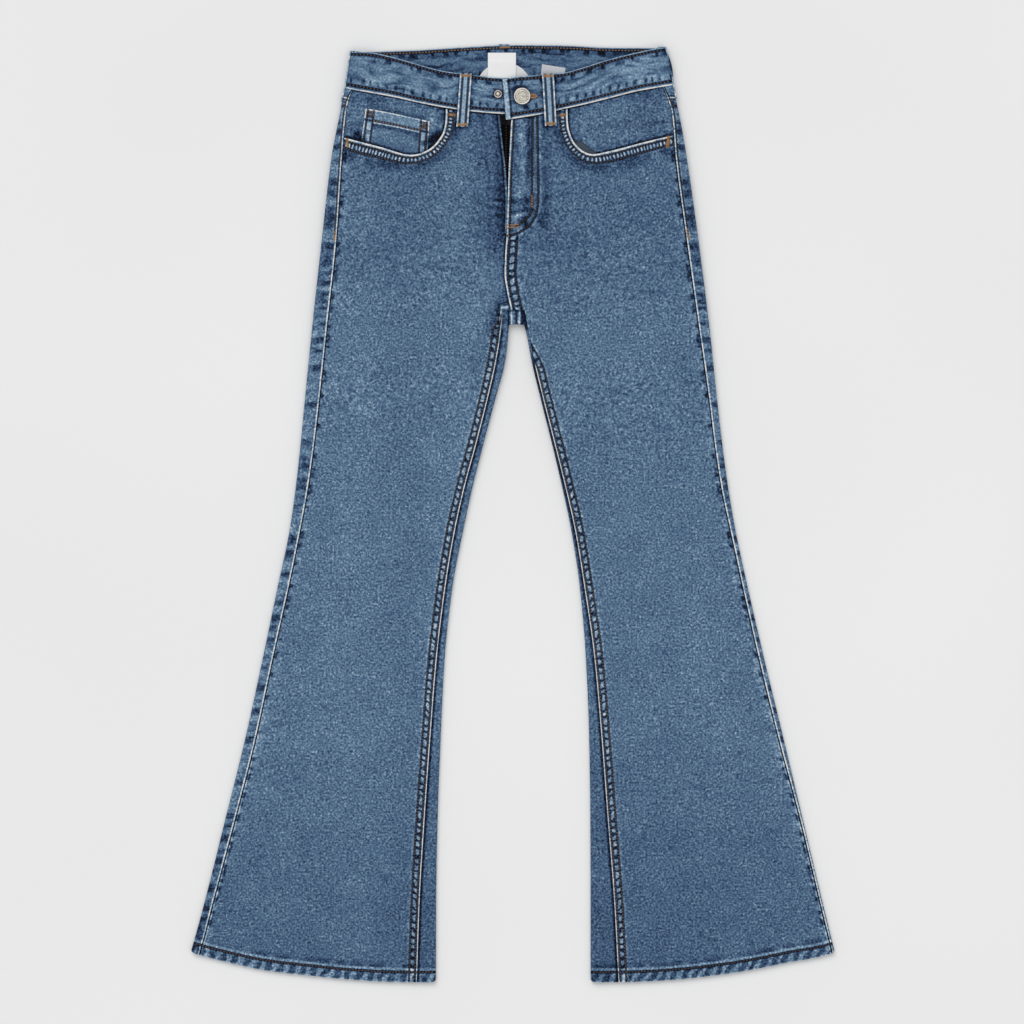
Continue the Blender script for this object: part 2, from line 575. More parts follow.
def front_panel(side):
    """A front panel: the leg between its seams, then rows that close on the pocket opening and waist."""
    legs = leg_rows()
    near = np.array([0, 0.9, 2, 3.4, 5.2, 7.4, 10])
    far = np.array([13.5, 11.6, 10.4, FELL_WIDTH, 8.3, 6.6, 4.8, 3.2, 1.6, 0.7, 0])
    middle = np.linspace(0, 1, 60)[1:-1]

    def columns(total):
        total = np.atleast_1d(total)[:, None]
        inner_part = lerp(near[-1], total - far[0], middle[None, :])
        return np.concatenate([np.repeat(near[None], len(total), 0), inner_part, total - far[None, :]], 1)

    def leg(rows, edge):
        x0, _ = crossing(rows, lambda y: SIDE[side]["outseam"](y) - side * SEAM_GAP)
        x1, _ = crossing(rows, edge)
        x = x0[:, None] - side * columns(np.abs(x1 - x0))
        return x, row_y(rows, x)

    x1, y1 = leg(legs, lambda y: INSIDE[side]["inseam"](y) + side * SEAM_GAP)
    centre = CENTRE_FRONT[WORD[side]]
    heights = np.concatenate([[CROSS_SEAM_Y + 0.6], np.arange(231.5, HIP_Y, 2.5), [HIP_Y]])
    x2, y2 = leg(np.array([(0.0, 1.0, y) for y in heights]), centre)

    def band_low(x):
        return FRONT_BAND[side]["low"](x) - SEAM_GAP

    end_y = HIP_Y
    for _ in range(SETTLE):
        end_y = band_low(centre(end_y))
    end_x = centre(end_y)
    opening = np.array([p for p in POCKET[side] if p[1] < band_low(p[0]) - SEAM_GAP])
    corner = np.array([[POCKET[side][-1][0], band_low(POCKET[side][-1][0])]])
    waist_x = np.linspace(corner[0, 0], end_x, 24)
    waist = np.stack([waist_x, band_low(waist_x)], -1)
    boundary = np.concatenate([opening, waist])
    upper = along_chain(boundary, columns(lengths(boundary)[-1])[0])
    bottom = np.stack([x2[-1], y2[-1]], -1)
    length = np.hypot(*(upper - bottom).T)
    offsets = np.array([11, 9.6, POCKET_HEM, 7, 5, 3.2, 1.8, 0.8, 0])
    fractions = [1 - v * (1 - offsets[0] / length) for v in np.linspace(0, 1, 52)[1:]]
    fractions += [off / length for off in offsets[1:]]
    f = np.arange(len(upper)) / (len(upper) - 1)
    x3, y3 = [], []
    for t in fractions:
        x, y = lerp(upper[:, 0], bottom[:, 0], t), lerp(upper[:, 1], bottom[:, 1], t)
        first = SIDE[side]["outseam"](y[0]) - side * SEAM_GAP - x[0]
        last = centre(y[-1]) - x[-1]
        x3.append(x + first * (1 - f) ** 2 + last * f**2)
        y3.append(y)
    x = np.concatenate([x1, x2, np.array(x3)])
    y = np.concatenate([y1, y2, np.array(y3)])
    z = front_top(side, x, y)
    thickness = DENIM + (HEM_WALL - DENIM) * (y - hem(x) < HEM_DEPTH)
    base = top_at(side, x, y)
    outer = np.stack([x, y, z], -1)
    inner = np.stack([x, y, np.minimum(z - 0.9, base - thickness)], -1)
    points, faces = wall(outer, inner)
    pocket_d, pocket_s = pocket_place(side, x, y)
    rising = y > CROSS_SEAM_Y + 0.3
    lap_edge = CENTRE_FRONT["left"](y)
    by_inseam = side * (x - INSIDE[side]["inseam"](y)) * fell_scale(side, y) + fell_shift(side, y)
    felled = np.where(rising, (1 - ease(y, 309, 315)) * (side == LEFT), 1.0)
    under_lap = 0.4 * bell(centre(y) - x, 0, 1.7) * (side == RIGHT) * (y < 314) * rising
    lapped = ease(y, 311, 317) * (x < 60) * (1.0 if side == LEFT else 0.45)
    by_fly = [signed_distance(line, x, y) for line in (J_OUTER, J_INNER)]
    attributes = {
        "side": along(y, side * (SIDE[side]["outseam"](y) - x)),
        "fell": along(y, np.where(rising, 0.75 * (x - lap_edge), by_inseam), felled),
        "lap": along(y, x - lap_edge if side == LEFT else centre(y) - x, lapped),
        "fly": along(*by_fly, (side == LEFT) * (y > 305)),
        "hem": along(x, y - hem(x)),
        "pocket": along(pocket_s, pocket_d, y > 370),
        "waist": along(x, FRONT_BAND[side]["low"](x) - y),
        "wash": (fade(x, y) + shaded(x, y) - under_lap).ravel(),
    }
    return points, faces, {k: twice(v) for k, v in attributes.items()}


# The columns across a fold: those of the strip beside the seam, from 0 to 1 across it, and those round it
STRIP = [0, 0.06, 0.14, 0.28, 0.45, 0.62, 0.8]
FOLD_COLUMNS = 18


def fold(edge, seam, out, y, thickness, raised, side):
    """A back panel's strip from its seam and the fold beside it, down to the underside."""
    lift = HEIGHT["lift"](y)
    radius = (HEIGHT["fold"](y) + raised - lift) / 2
    reach = np.abs(edge - seam) - SEAM_STEP
    start = np.where(reach >= radius, math.pi / 2, np.arccos(np.clip((radius - reach) / radius, -1, 1)))
    top_x = edge + out * (radius * np.cos(start) - radius)
    outer, inner = [], []
    for f in STRIP:
        x = lerp(seam, top_x, f)
        z = top_at(side, x, y) + raised
        outer.append(np.stack([x, y, z], -1))
        inner.append(np.stack([x, y, z - thickness], -1))
    for turn in np.linspace(0, 1, FOLD_COLUMNS - len(STRIP)):
        a = lerp(start, -math.pi / 2, turn)
        for layer, r in ((outer, radius), (inner, radius - thickness)):
            x = edge + out * (r * np.cos(a) - radius)
            x = out * np.maximum(out * x, out * seam + SEAM_STEP / 2)
            layer.append(np.stack([x, y, lift + radius + r * np.sin(a)], -1))
    return np.stack(outer, 1), np.stack(inner, 1)


def back_grid(side, rows, has_leg):
    """The section of a back panel or yoke at each row: outer fold, underside and, on a leg, inner fold."""
    y_of, thickness, raised = rows
    tracks_of = SIDE[side]
    edge, edge_y = y_of(tracks_of["outer"])
    seam, _ = y_of(tracks_of["outseam"])
    outer, inner = fold(edge, seam, side, edge_y, thickness, raised, side)
    if has_leg:
        in_seam, in_y = y_of(INSIDE[side]["inseam"])
        in_edge, _ = y_of(lambda y: inner_edge(side, y))
        inner_outer, inner_inner = fold(in_edge, in_seam, -side, in_y, thickness, raised, side)
    else:
        x, y = y_of(lambda at: CENTRE_BACK(at) + side * SEAM_GAP / 2)
        lift = HEIGHT["lift"](y)
        inner_outer = np.repeat(np.stack([x, y, lift], -1)[:, None], outer.shape[1], 1)
        inner_inner = np.repeat(np.stack([x, y, lift + thickness], -1)[:, None], outer.shape[1], 1)
    out = []
    for a, b in ((outer, inner_outer), (inner, inner_inner)):
        steps = np.linspace(0, 1, 16)[1:-1]
        under = np.stack([lerp(a[:, -1], b[:, -1], f) for f in steps], 1)
        out.append(np.concatenate([a, under, b[:, ::-1]], 1))
    return out, outer.shape[1] + 15


def back_attributes(side, points, is_yoke=False):
    x, y, z = points.T
    upper = z > HEIGHT["lift"](y) + 1.5
    by_outseam = side * (x - SIDE[side]["outseam"](y))
    by_inseam = side * (INSIDE[side]["inseam"](y) - x)
    on_strip = upper & (y < CROSS_SEAM_Y) & (np.abs(x) < 125) & (by_inseam > -2)
    return {
        "side": along(y, by_outseam, upper & (by_outseam > -2)),
        "fell": along(y, by_inseam, on_strip * (1 - ease(y, 165, 185) * (side == LEFT)) * (y < 206)),
        "crotch": along(x, y, upper & (y > 205) & (y < CROSS_SEAM_Y) & (np.abs(x) < 30)),
        "hem": along(x, y - hem(x)),
        "yoke": along(x, y - yoke_seam(x) - (0 if is_yoke else 2)),
        "centre": along(y, side * (x - CENTRE_BACK(y)), (y > CROTCH_Y - 3) & ~upper),
        "wash": fade(x, y, upper) - 0.035,
    }


def rows_between(low, high, start, v):
    """Rows from a lower to an upper seam, for an edge that is read by its y."""

    def row(track):
        y = lerp(*start, v)
        for _ in range(SETTLE):
            y = lerp(low(track(y)), high(track(y)), v)
        return track(y), y

    return row


def back_panel(side):
    legs = leg_rows()
    in_hem = (legs[:, 1] == 0) & (legs[:, 0] <= HEM_DEPTH)
    raised = np.where(in_hem, HEM_RAISE - 0.5 * (1 - ease(legs[:, 0], 0, 1.5)), 0)
    thickness = np.where(in_hem, HEM_WALL, DENIM)
    leg, under_end = back_grid(side, (lambda track: crossing(legs, track), thickness, raised), True)
    low = CROSS_SEAM_Y + SEAM_GAP
    v = np.linspace(0, 1, 70)
    seat_row = rows_between(lambda x: low, lambda x: yoke_seam(x) - SEAM_GAP, (low, 440.0), v)
    seat, _ = back_grid(side, (seat_row, np.full(70, DENIM), np.zeros(70)), False)
    outer, inner = (np.concatenate([a, b]) for a, b in zip(leg, seat))
    rows = len(legs)
    for layer in (outer, inner):
        under = layer[:, FOLD_COLUMNS:-FOLD_COLUMNS]
        x, y, _ = np.moveaxis(under, -1, 0)
        layer[:rows, :, 1] = row_y(legs, layer[:rows, :, 0])
        under[rows:, :, 1] = lerp(low, yoke_seam(x[rows:]) - SEAM_GAP, v[:, None])
        under[:, :, 2] += hidden_relief(x, y) * np.sin(math.pi * np.linspace(0, 1, under.shape[1]))
    keep = np.ones((outer.shape[0] - 1, outer.shape[1] - 1), bool)
    keep[rows - 1 :, under_end:] = False
    points, faces = wall(outer, inner, keep)
    return points, faces, back_attributes(side, points)


def yoke(side):
    v = np.linspace(0, 1, 14)
    row = rows_between(yoke_seam, lambda x: BACK_BAND["low"](x) - SEAM_GAP, (440.0, 478.0), v)
    (outer, inner), under_end = back_grid(side, (row, np.full(14, DENIM), np.zeros(14)), False)
    for layer in (outer, inner):
        under = layer[:, FOLD_COLUMNS:-FOLD_COLUMNS]
        x = under[:, :, 0]
        under[:, :, 1] = lerp(yoke_seam(x), BACK_BAND["low"](x) - SEAM_GAP, v[:, None])
    keep = np.ones((outer.shape[0] - 1, outer.shape[1] - 1), bool)
    keep[:, under_end:] = False
    points, faces = wall(outer, inner, keep)
    return points, faces, back_attributes(side, points, True)


def band_top(side, x):
    return BAND_TOP + (LAP_RAISE * (1 - ease(x, LAP_TO_X, LAP_FROM_X)) if side == LEFT else 0 * x)


def waistband():
    """One strip from the button's end, round the back, to the buttonhole's end."""
    v = np.array([0, 0.02, 0.05, 0.09, 0.13, *np.linspace(0.18, 0.84, 16), 0.88, 0.92, 0.955, 0.98, 1])
    middle = 12
    outer, inner, seam = [], [], []
    length = 0.0

    def add(x, y, z, inner_z, on_front):
        """A column across the band, uneven on the side of it that is seen."""
        nonlocal length
        if outer:
            length += max(np.hypot(*(np.array([x[middle], y[middle]]) - outer[-1][middle, :2])), 0.6)
        relief = 0.3 * np.sin(math.pi * v) - 0.7 * (1 - ease(v, 0, 0.03)) - 0.7 * ease(v, 0.97, 1)
        relief += 0.35 * noise(length / 26 + 3 * v, v * 5.5 + length / 90, 21) * np.sin(math.pi * v)
        relief -= 0.35 * (bell(v * BAND_WIDTH, 5.2, 1.0) + bell(v * BAND_WIDTH, 38.2, 1.0))
        outer.append(np.stack([x, y, z + relief * on_front], -1))
        inner.append(np.stack([x, y, inner_z + relief * (not on_front)], -1))
        seam.append(along(length, v * BAND_WIDTH))

    def front(side, at):
        x = at - LAP_END_LEAN * v if side == LEFT and at <= -8 else np.full(len(v), float(at))
        band, top = FRONT_BAND[side], band_top(side, x)
        add(x, lerp(band["low"](x), band["high"](x), v), top, top - BAND_WALL, True)

    def turn(side, backward):
        """The fold from the front to the back."""
        nonlocal length
        ends, band = BAND_FOLD[side], FRONT_BAND[side]
        edge = lerp(ends["low_x"], ends["high_x"], v) + BAND_BULGE[side] * np.sin(math.pi * v)
        radius = (BAND_TOP - REST_LIFT) / 2
        flat = [edge - side * lerp(10, radius, k) for k in (0, 0.4, 0.75)]
        places = [(x, BAND_TOP, x, BAND_TOP - BAND_WALL) for x in flat]
        for a in np.linspace(math.pi / 2, -math.pi / 2, 11):
            place = []
            for r in (radius, radius - BAND_WALL):
                place += [edge + side * (r * math.cos(a) - radius), REST_LIFT + radius + r * math.sin(a)]
            places.append(place)
        for x, z, inner_x, inner_z in places[::-1] if backward else places:
            length += 1.6
            for layer, at, height in ((outer, x, z), (inner, inner_x, inner_z)):
                y = lerp(band["low"](at), band["high"](at), v)
                layer.append(np.stack([at, y, np.full(len(v), height)], -1))
            seam.append(along(length, v * BAND_WIDTH, z > REST_LIFT + radius))

    for x in [17, 16.2, *np.arange(14, -174, -2.2)]:
        front(RIGHT, x)
    turn(RIGHT, False)
    for x in np.arange(-168, 162, 2.6):
        x = np.full(len(v), x)
        y = lerp(BACK_BAND["low"](x), BACK_BAND["high"](x), v)
        add(x, y, np.full(len(v), REST_LIFT), np.full(len(v), REST_LIFT + BAND_WALL), False)
    turn(LEFT, True)
    for x in [*np.arange(164, -6, -2.2), -7.2, -8]:
        front(LEFT, x)
    outer, inner = np.stack(outer, 1), np.stack(inner, 1)
    points, faces = wall(outer, inner)
    x, y, z = np.moveaxis(outer, -1, 0)
    lap = twice(along(y, x + 8 + LAP_END_LEAN * v[:, None], (z > 10.3) & (x < 14)))
    band = twice(np.stack(seam, 1).reshape(-1, 3))
    band[:, 2] *= 1 - 0.85 * lap[:, 2] * (1 - ease(lap[:, 1], 5.4, 6.4))
    inside_back = np.concatenate([np.zeros(z.size), (z < 3).ravel()])
    x, y, z = points.T
    by_fold = 0.3 * ease(x - (172.2 + 0.18 * (523 - y)), 0, 1.2)
    wash = 0.02 + 0.02 * noise(x / 50, y / 30, 8) - by_fold - 0.12 * inside_back
    return points, faces, {"band": band, "lap": lap, "wash": wash + shaded(x, y) * (1 - inside_back)}


def sheet_grid(x, y, z, thickness):
    return wall(np.stack([x, y, z], -1), np.stack([x, y, z - thickness], -1))


def loop_top(side, x, y, v):
    """The upper face of a front loop, which steps up from the front on to the waistband."""
    top_x, _, foot_x, _ = FRONT_LOOPS[side]
    low = float(FRONT_BAND[side]["low"]((top_x + foot_x) / 2))
    seat = lerp(top_at(side, x, y) + POCKET_HEM_RAISE, band_top(side, x), ease(y, low - 5, low + 1))
    return seat + SEAM_GAP + LOOP_WALL + LOOP_BULGE * np.sin(math.pi * v)


def front_loop(side):
    top_x, top_y, foot_x, foot_y = FRONT_LOOPS[side]
    v = np.linspace(0, 1, 40)[:, None]
    u = np.linspace(-1, 1, 13)[None, :]
    y = lerp(foot_y, top_y, v) + 0 * u
    x = lerp(foot_x, top_x, v) + u * LOOP_HALF_WIDTH
    z = loop_top(side, x, y, v) + 0.25 * np.cos(u * math.pi / 2) ** 2
    z = z - 0.5 * (np.abs(u) > 0.97) - 0.25 * bell(np.abs(u), 0.52, 0.12) - 0.5 * ((v < 0.01) | (v > 0.99))
    points, faces = sheet_grid(x, y, z, LOOP_WALL)
    across = (u + 1) * LOOP_HALF_WIDTH
    return points, faces, {"loop": twice(along(y, across + 0 * y)), "wash": twice(0 * y.ravel() + 0.01)}


def into_opening(side, x, y):
    """How far a point is inside a pocket's opening, and negative outside it."""
    edge_x, edge_y = POCKET[side].T
    order = np.argsort(edge_x)
    above = y > np.interp(x, edge_x[order], edge_y[order])
    inside = above & (side * (x - POCKET[side][-1][0]) > 0)
    return nearest(POCKET[side], x, y)[0] * np.where(inside, 1, -1)


def facing_top(side, x, y):
    drop = lerp(FACING_DROP, 0.3, ease(into_opening(side, x, y), 12, 34))
    return top_at(side, x, y) - drop


def facing_notch(x, y):
    """The left facing stops short of the opening's lowest corner. Negative where there is none."""
    slope = 0.6 * (x - 94.6) + 0.8 * (y - 404.5)
    return np.where(y > 418.5, 1e3, slope)


def facing(side):
    """The pocket facing that shows in the opening, finer than its solid."""
    low = FRONT_BAND[side]["low"]
    below = np.linspace(SEAM_GAP, FACING_DEPTH, 36)
    seam_y = np.full(len(below), 440.0)
    for _ in range(SETTLE):
        seam_x = SIDE[side]["outseam"](seam_y) - side * SEAM_GAP * 2
        seam_y = low(seam_x) - below
    seam_x = SIDE[side]["outseam"](seam_y) - side * SEAM_GAP * 2
    x = lerp(seam_x[:, None], FACING_END[side], np.linspace(0, 1, 50))
    y = low(x) - below[:, None]
    z = facing_top(side, x, y) + 0.25 * noise(x / 22, y / 12, 31)
    keep = None
    if side == LEFT:
        over = facing_notch(x, y)
        near = np.abs(over) < 1.9
        x, y = np.where(near, x - 0.6 * over, x), np.where(near, y - 0.8 * over, y)
        keep = facing_notch((x[:-1, :-1] + x[1:, 1:]) / 2, (y[:-1, :-1] + y[1:, 1:]) / 2) > 0
    points, faces = wall(np.stack([x, y, z], -1), np.stack([x, y, z - LIGHT_DENIM], -1), keep)
    d, s, _ = nearest(POCKET[side], x, y)
    wash = 0.05 * (x < 0) + 0.04 * noise(x / 30, y / 20, 9) + marks(FACING_MARKS, x, y)
    attributes = {"under": along(s, d), "waist": along(x, low(x) - y), "wash": wash.ravel()}
    return points, faces, {key: twice(values) for key, values in attributes.items()}


def coin_sides(below):
    """The coin pocket's two sides, at a depth under the waistband."""
    return [lerp(start, end, below / FACING_DEPTH) for start, end in COIN_SIDES]


def coin_pocket():
    below = np.linspace(COIN_TOP, COIN_FOOT, 40)[:, None]
    left, right = coin_sides(below)
    x = lerp(left, right, np.linspace(0, 1, 60))
    y = FRONT_BAND[RIGHT]["low"](x) - below
    from_side, from_top = np.minimum(x - left, right - x), below - COIN_TOP
    z = facing_top(RIGHT, x, y) + SEAM_GAP + LIGHT_DENIM
    z += 0.15 * ease(np.minimum(from_side, from_top), 0, 2) + 0.1 * noise(x / 15, y / 9, 41)
    points, faces = sheet_grid(x, y, z, LIGHT_DENIM)
    d, s, _ = nearest(POCKET[RIGHT], x, y)
    wash = 0.03 + 0.02 * noise(x / 30, y / 20, 9) + marks(FACING_MARKS, x, y)
    attributes = {
        "under": along(s, d), "coin_side": along(y, from_side), "coin_top": along(x, from_top),
        "wash": wash.ravel(),
    }
    return points, faces, {key: twice(values) for key, values in attributes.items()}


class Value:
    """A number that a material's nodes work out. It adds and multiplies like a plain one."""

    def __init__(self, nodes, socket):
        self.nodes, self.socket = nodes, socket

    def __add__(self, other):
        return self.nodes.math("ADD", self, other)

    def __mul__(self, other):
        return self.nodes.math("MULTIPLY", self, other)

    def __sub__(self, other):
        return self + other * -1.0

    def __rsub__(self, other):
        return self * -1.0 + other

    __radd__, __rmul__ = __add__, __mul__


class Nodes:
    """A material's nodes. A value or a plain number goes in wherever a number does.

    A seam's s is the length along it and d is the distance from it.
    """

    def __init__(self, name):
        self.material = bpy.data.materials.new(name)
        self.material.use_nodes = True
        self.tree = self.material.node_tree
        self.tree.nodes.clear()
        self.output = self.tree.nodes.new("ShaderNodeOutputMaterial")
        self.shader = self.tree.nodes.new("ShaderNodeBsdfPrincipled")
        self.tree.links.new(self.shader.outputs[0], self.output.inputs["Surface"])
        self.place = self.make("TexCoord", output="Object")

    def put(self, socket, value):
        if isinstance(value, Value):
            self.tree.links.new(value.socket, socket)
        else:
            socket.default_value = value

    def make(self, kind, inputs=None, output=0, **settings):
        """A node with its inputs by their names or places, and one of its outputs."""
        node = self.tree.nodes.new("ShaderNode" + kind)
        for key, setting in settings.items():
            setattr(node, key, setting)
        for key, value in (inputs or {}).items():
            self.put(node.inputs[key], value)
        return Value(self, node.outputs[output])

    def math(self, operation, *values, clamp=False):
        return self.make("Math", dict(enumerate(values)), operation=operation, use_clamp=clamp)

    def ease(self, value, start, end, low=0.0, high=1.0):
        inputs = dict(enumerate((value, start, end, low, high)))
        return self.make("MapRange", inputs, interpolation_type="SMOOTHSTEP")

    def fall(self, value, start, end):
        return self.ease(value, start, end, 1.0, 0.0)

    def between(self, value, from_low, from_high, to_high, to_low):
        return self.ease(value, from_low, from_high) * self.fall(value, to_high, to_low)

    def bell(self, value, middle, width):
        off = (value - middle) * (1 / width)
        return self.math("POWER", math.e, off * off * -1.0)

    def sine(self, value, pitch, shift=0.0):
        return self.math("SINE", value * (2 * math.pi / pitch) + shift)

    def split(self, place):
        node = self.tree.nodes.new("ShaderNodeSeparateXYZ")
        self.put(node.inputs[0], place)
        return [Value(self, socket) for socket in node.outputs]

    def seam(self, name):
        return self.split(self.make("Attribute", output="Vector", attribute_name=name))

    def number(self, name):
        return self.make("Attribute", output="Fac", attribute_name=name)

    def vector(self, *values):
        return self.make("CombineXYZ", dict(enumerate(values)))

    def noise(self, place, scale, detail=0.0, roughness=0.5):
        inputs = {"Vector": place, "Scale": scale, "Detail": detail, "Roughness": roughness}
        return self.make("TexNoise", inputs, "Fac")

    def wave(self, place, scale, distortion=0.0, detail=0.0):
        inputs = {"Vector": place, "Scale": scale, "Distortion": distortion, "Detail": detail}
        return self.make("TexWave", inputs, "Fac", bands_direction="DIAGONAL")

    def spots(self, s, d, pitch, across, low, high, z=3.0):
        """Dark or light spots at uneven steps along a seam."""
        return self.ease(self.noise(self.vector(s * (1 / pitch), d * across, z), 1.0), low, high)

    def rows(self, d, places, deep=-0.55, width=1.2):
        """A row of thread pulls a dark line into the cloth and leaves worn cloth on both sides."""
        light, relief = 0.0, 0.0
        for place in places:
            line = self.bell(d, place, width)
            worn = self.bell(d, place - 2.2, 0.7) + self.bell(d, place + 2.2, 0.7)
            light, relief = light + line * deep + worn * 0.05, relief + line * -0.0005
        return light, relief

    def worn_edge(self, s, d, width, strong):
        """The outer threads of a folded edge are nearly white, more in some places than others."""
        patchy = self.ease(self.noise(self.vector(s * 0.09, 0.0, 9.0), 1.0, 2.0), 0.3, 0.55, 0.6, 1.0)
        return self.fall(d, width - 0.3, width + 0.5) * patchy * strong

    def ramp(self, value, stops):
        node = self.tree.nodes.new("ShaderNodeValToRGB")
        self.put(node.inputs[0], value)
        while len(node.color_ramp.elements) < len(stops):
            node.color_ramp.elements.new(0.5)
        for element, (at, colour) in zip(node.color_ramp.elements, stops):
            element.position = at
            element.color = (*linear(colour), 1)
        return Value(self, node.outputs[0])

    def finish(self, colour, roughness, relief=None, **fixed):
        self.put(self.shader.inputs["Base Color"], colour)
        self.put(self.shader.inputs["Roughness"], roughness)
        for key, value in fixed.items():
            self.shader.inputs[key.replace("_", " ")].default_value = value
        if relief is not None:
            self.put(self.shader.inputs["Normal"], self.make("Bump", {"Distance": 1.0, "Height": relief}))
        return self.material


def linear(colour):
    """A colour of 0 to 255 as shown, in the linear numbers that Blender's shaders use."""
    c = np.asarray(colour, float) / 255
    return tuple(np.where(c <= 0.04045, c / 12.92, ((c + 0.055) / 1.055) ** 2.4))


# Indigo from unworn to bleached
INDIGO = [
    (0.0, (9, 14, 26)), (0.2, (30, 48, 76)), (0.35, (56, 79, 109)), (0.5, (80, 106, 134)),
    (0.65, (110, 137, 161)), (0.8, (152, 177, 197)), (1.0, (228, 224, 218)),
]


# Each seam's marks on the cloth beside it: how much they count, how light they are and how high
def zone_side(n):
    """Beside the outseam on the front: a dark line, and small dark puckers at uneven steps."""
    s, d, w = n.seam("side")
    dark = n.spots(s, d, 6.5, 0.09, 0.53, 0.62) * n.between(d, 0.8, 1.8, 3.5, 6.5)
    light = n.spots(s, d, 6.5, 0.09, 0.47, 0.35) * n.between(d, 1.6, 2.8, 6.0, 13.0)
    pale = n.bell(d, 2.3, 0.65) * n.ease(s, -120.0, -330.0)
    value = dark * -0.34 + light * 0.09 + n.fall(d, 1.0, 1.8) * -0.5 + pale * 0.3
    return w, value, dark * -0.0005 + light * 0.0001


def zone_side_back(n):
    """Beside the outseam on the back's strip: a pale edge, a row at the hip, and broad dark puckers."""
    s, d, w = n.seam("side")
    dark = n.spots(s, d, 8.0, 0.03, 0.51, 0.63) * n.ease(d, 7.0, 14.0, 1.0, 0.2) * n.ease(d, 1.2, 2.4)
    light = n.spots(s, d, 8.0, 0.03, 0.5, 0.36) * n.ease(d, 1.2, 2.4)
    row = (n.bell(d, 2.2, 0.8) * -0.46 + n.bell(d, 3.8, 0.7) * 0.12) * n.ease(s, 306.0, 314.0)
    return w, dark * -0.25 + light * 0.12 + n.worn_edge(s, d, 1.3, 0.48) + row, dark * -0.0005


def zone_fell(n):
    """The felled inseam and rise: two rows of thread with pale, slanting beads between them."""
    s, d, w = n.seam("fell")
    above_hem = n.ease(n.seam("hem")[1], 12.5, 15.0)
    inside = n.between(d, 3.4, 4.2, 7.8, 8.6)
    wobble = n.noise(n.vector(s * 0.1, d * 0.12, 5.0), 1.0, 1.0)
    wave = n.sine(s, 8.2, d * -0.3 + wobble * 10.0)
    gaps = n.ease(wave, -0.25, -0.8) * inside * above_hem
    beads = n.ease(wave, -0.5, 0.2) * inside * above_hem
    at_hem = (inside + n.bell(d, 10.6, 0.6)) * (1.0 - above_hem)
    row, dip = n.rows(d, FELL_ROWS, -0.55, 1.05)
    smear = n.between(d, 9.9, 10.6, 11.0, 14.5) * n.spots(s, d, 5.0, 0.1, 0.4, 0.62)
    value = beads * 0.17 + gaps * -0.35 + n.worn_edge(s, d, 1.2, 0.5) + row + smear * 0.12 + at_hem * 0.16
    return w, value, beads * 0.0005 + gaps * -0.0003 + dip


def zone_fell_back(n):
    """On the back panel beside the felled seam: a dark line, then plain cloth."""
    _, d, w = n.seam("fell")
    return w, n.fall(d, 1.4, 3.6) * -0.36, 0.0


def zone_hem(n):
    """The turned-up hem, roped in slanting light and dark under its row of thread."""
    s, d, w = n.seam("hem")
    wobble = n.noise(n.vector(s * 0.06, d * 0.08, 2.0), 1.0, 2.0)
    slant = n.sine(s, 12.6, d * -0.22 + wobble * 7.0)
    slant = n.ease(slant, -0.55, 0.55, -1.0, 1.0) * n.fall(d, 9.4, 10.6)
    row, dip = n.rows(d, (HEM_ROW,), -0.62, 1.5)
    pale = n.between(d, 12.4, 13.4, 14.8, 17.0)
    shade = n.between(d, 15.0, 16.2, 17.0, 24.0) * n.spots(s, d, 12.0, 0.04, 0.36, 0.6)
    value = slant * 0.15 + n.fall(d, 0.6, 2.0) * 0.16 + row + pale * 0.2 + shade * -0.18
    return w, value, slant * 0.0005 + dip


def zone_pocket(n):
    """The opening's hem: a pale edge, and short bars across it between two rows of thread."""
    s, d, w = n.seam("pocket")
    inside = n.between(d, 3.2, 3.7, 7.0, 7.5)
    wobble = n.noise(n.vector(s * 0.09, d * 0.05, 2.0), 1.0, 1.0)
    bars = n.ease(n.sine(s, 3.9, wobble * 6.0), -0.5, 0.7, -1.0, 1.0) * inside
    row, dip = n.rows(d, POCKET_ROWS, -0.55, 1.0)
    shade = n.between(d, 9.0, 10.4, 11.0, 22.0) * n.spots(s, d, 13.0, 0.04, 0.36, 0.62)
    value = bars * 0.27 + inside * 0.02 + n.worn_edge(s, d, 1.8, 0.5) + row + shade * -0.2
    return w, value, bars * 0.0004 + dip


def zone_waist(n):
    """Cloth close under the waistband is in its shade."""
    _, d, w = n.seam("waist")
    return w, n.fall(d, 0.6, 2.6) * -0.34 + n.fall(d, 1.0, 14.0) * -0.08, 0.0


def zone_under(n):
    """Cloth seen through a pocket's opening is in shade close to its edge."""
    _, d, w = n.seam("under")
    return w, n.fall(d, 0.8, 4.0) * -0.34 + n.fall(d, 1.0, 15.0) * -0.08, 0.0


def zone_lap(n):
    """The lapped edge of the fly: folded, pale and stitched, with a soft ridge beyond it."""
    s, d, w = n.seam("lap")
    row, dip = n.rows(d, (LAP_ROW,), -0.5)
    ridge = n.bell(d, 12.0, 5.0) - n.bell(d, 20.5, 2.2)
    return w, n.worn_edge(s, d, 1.8, 0.55) + row + ridge * 0.14, dip


def zone_band_end(n):
    """The waistband's lapped end, folded to a broad pale edge."""
    _, d, w = n.seam("lap")
    pale = n.between(d, 0.6, 1.2, 5.4, 6.2)
    dark = n.fall(d, 0.3, 0.8) + n.bell(d, 7.2, 0.9)
    return w, pale * 0.27 + dark * -0.4, pale * 0.0004


def zone_fly(n):
    """The two rows of thread that turn below the fly."""
    outer, inner, w = n.seam("fly")
    outer_row, outer_dip = n.rows(outer, (0.0,), -0.5)
    inner_row, inner_dip = n.rows(inner, (0.0,), -0.5)
    light = n.between(outer, 1.4, 2.2, 4.0, 5.2) * 0.1
    return w, outer_row + inner_row + light, outer_dip + inner_dip


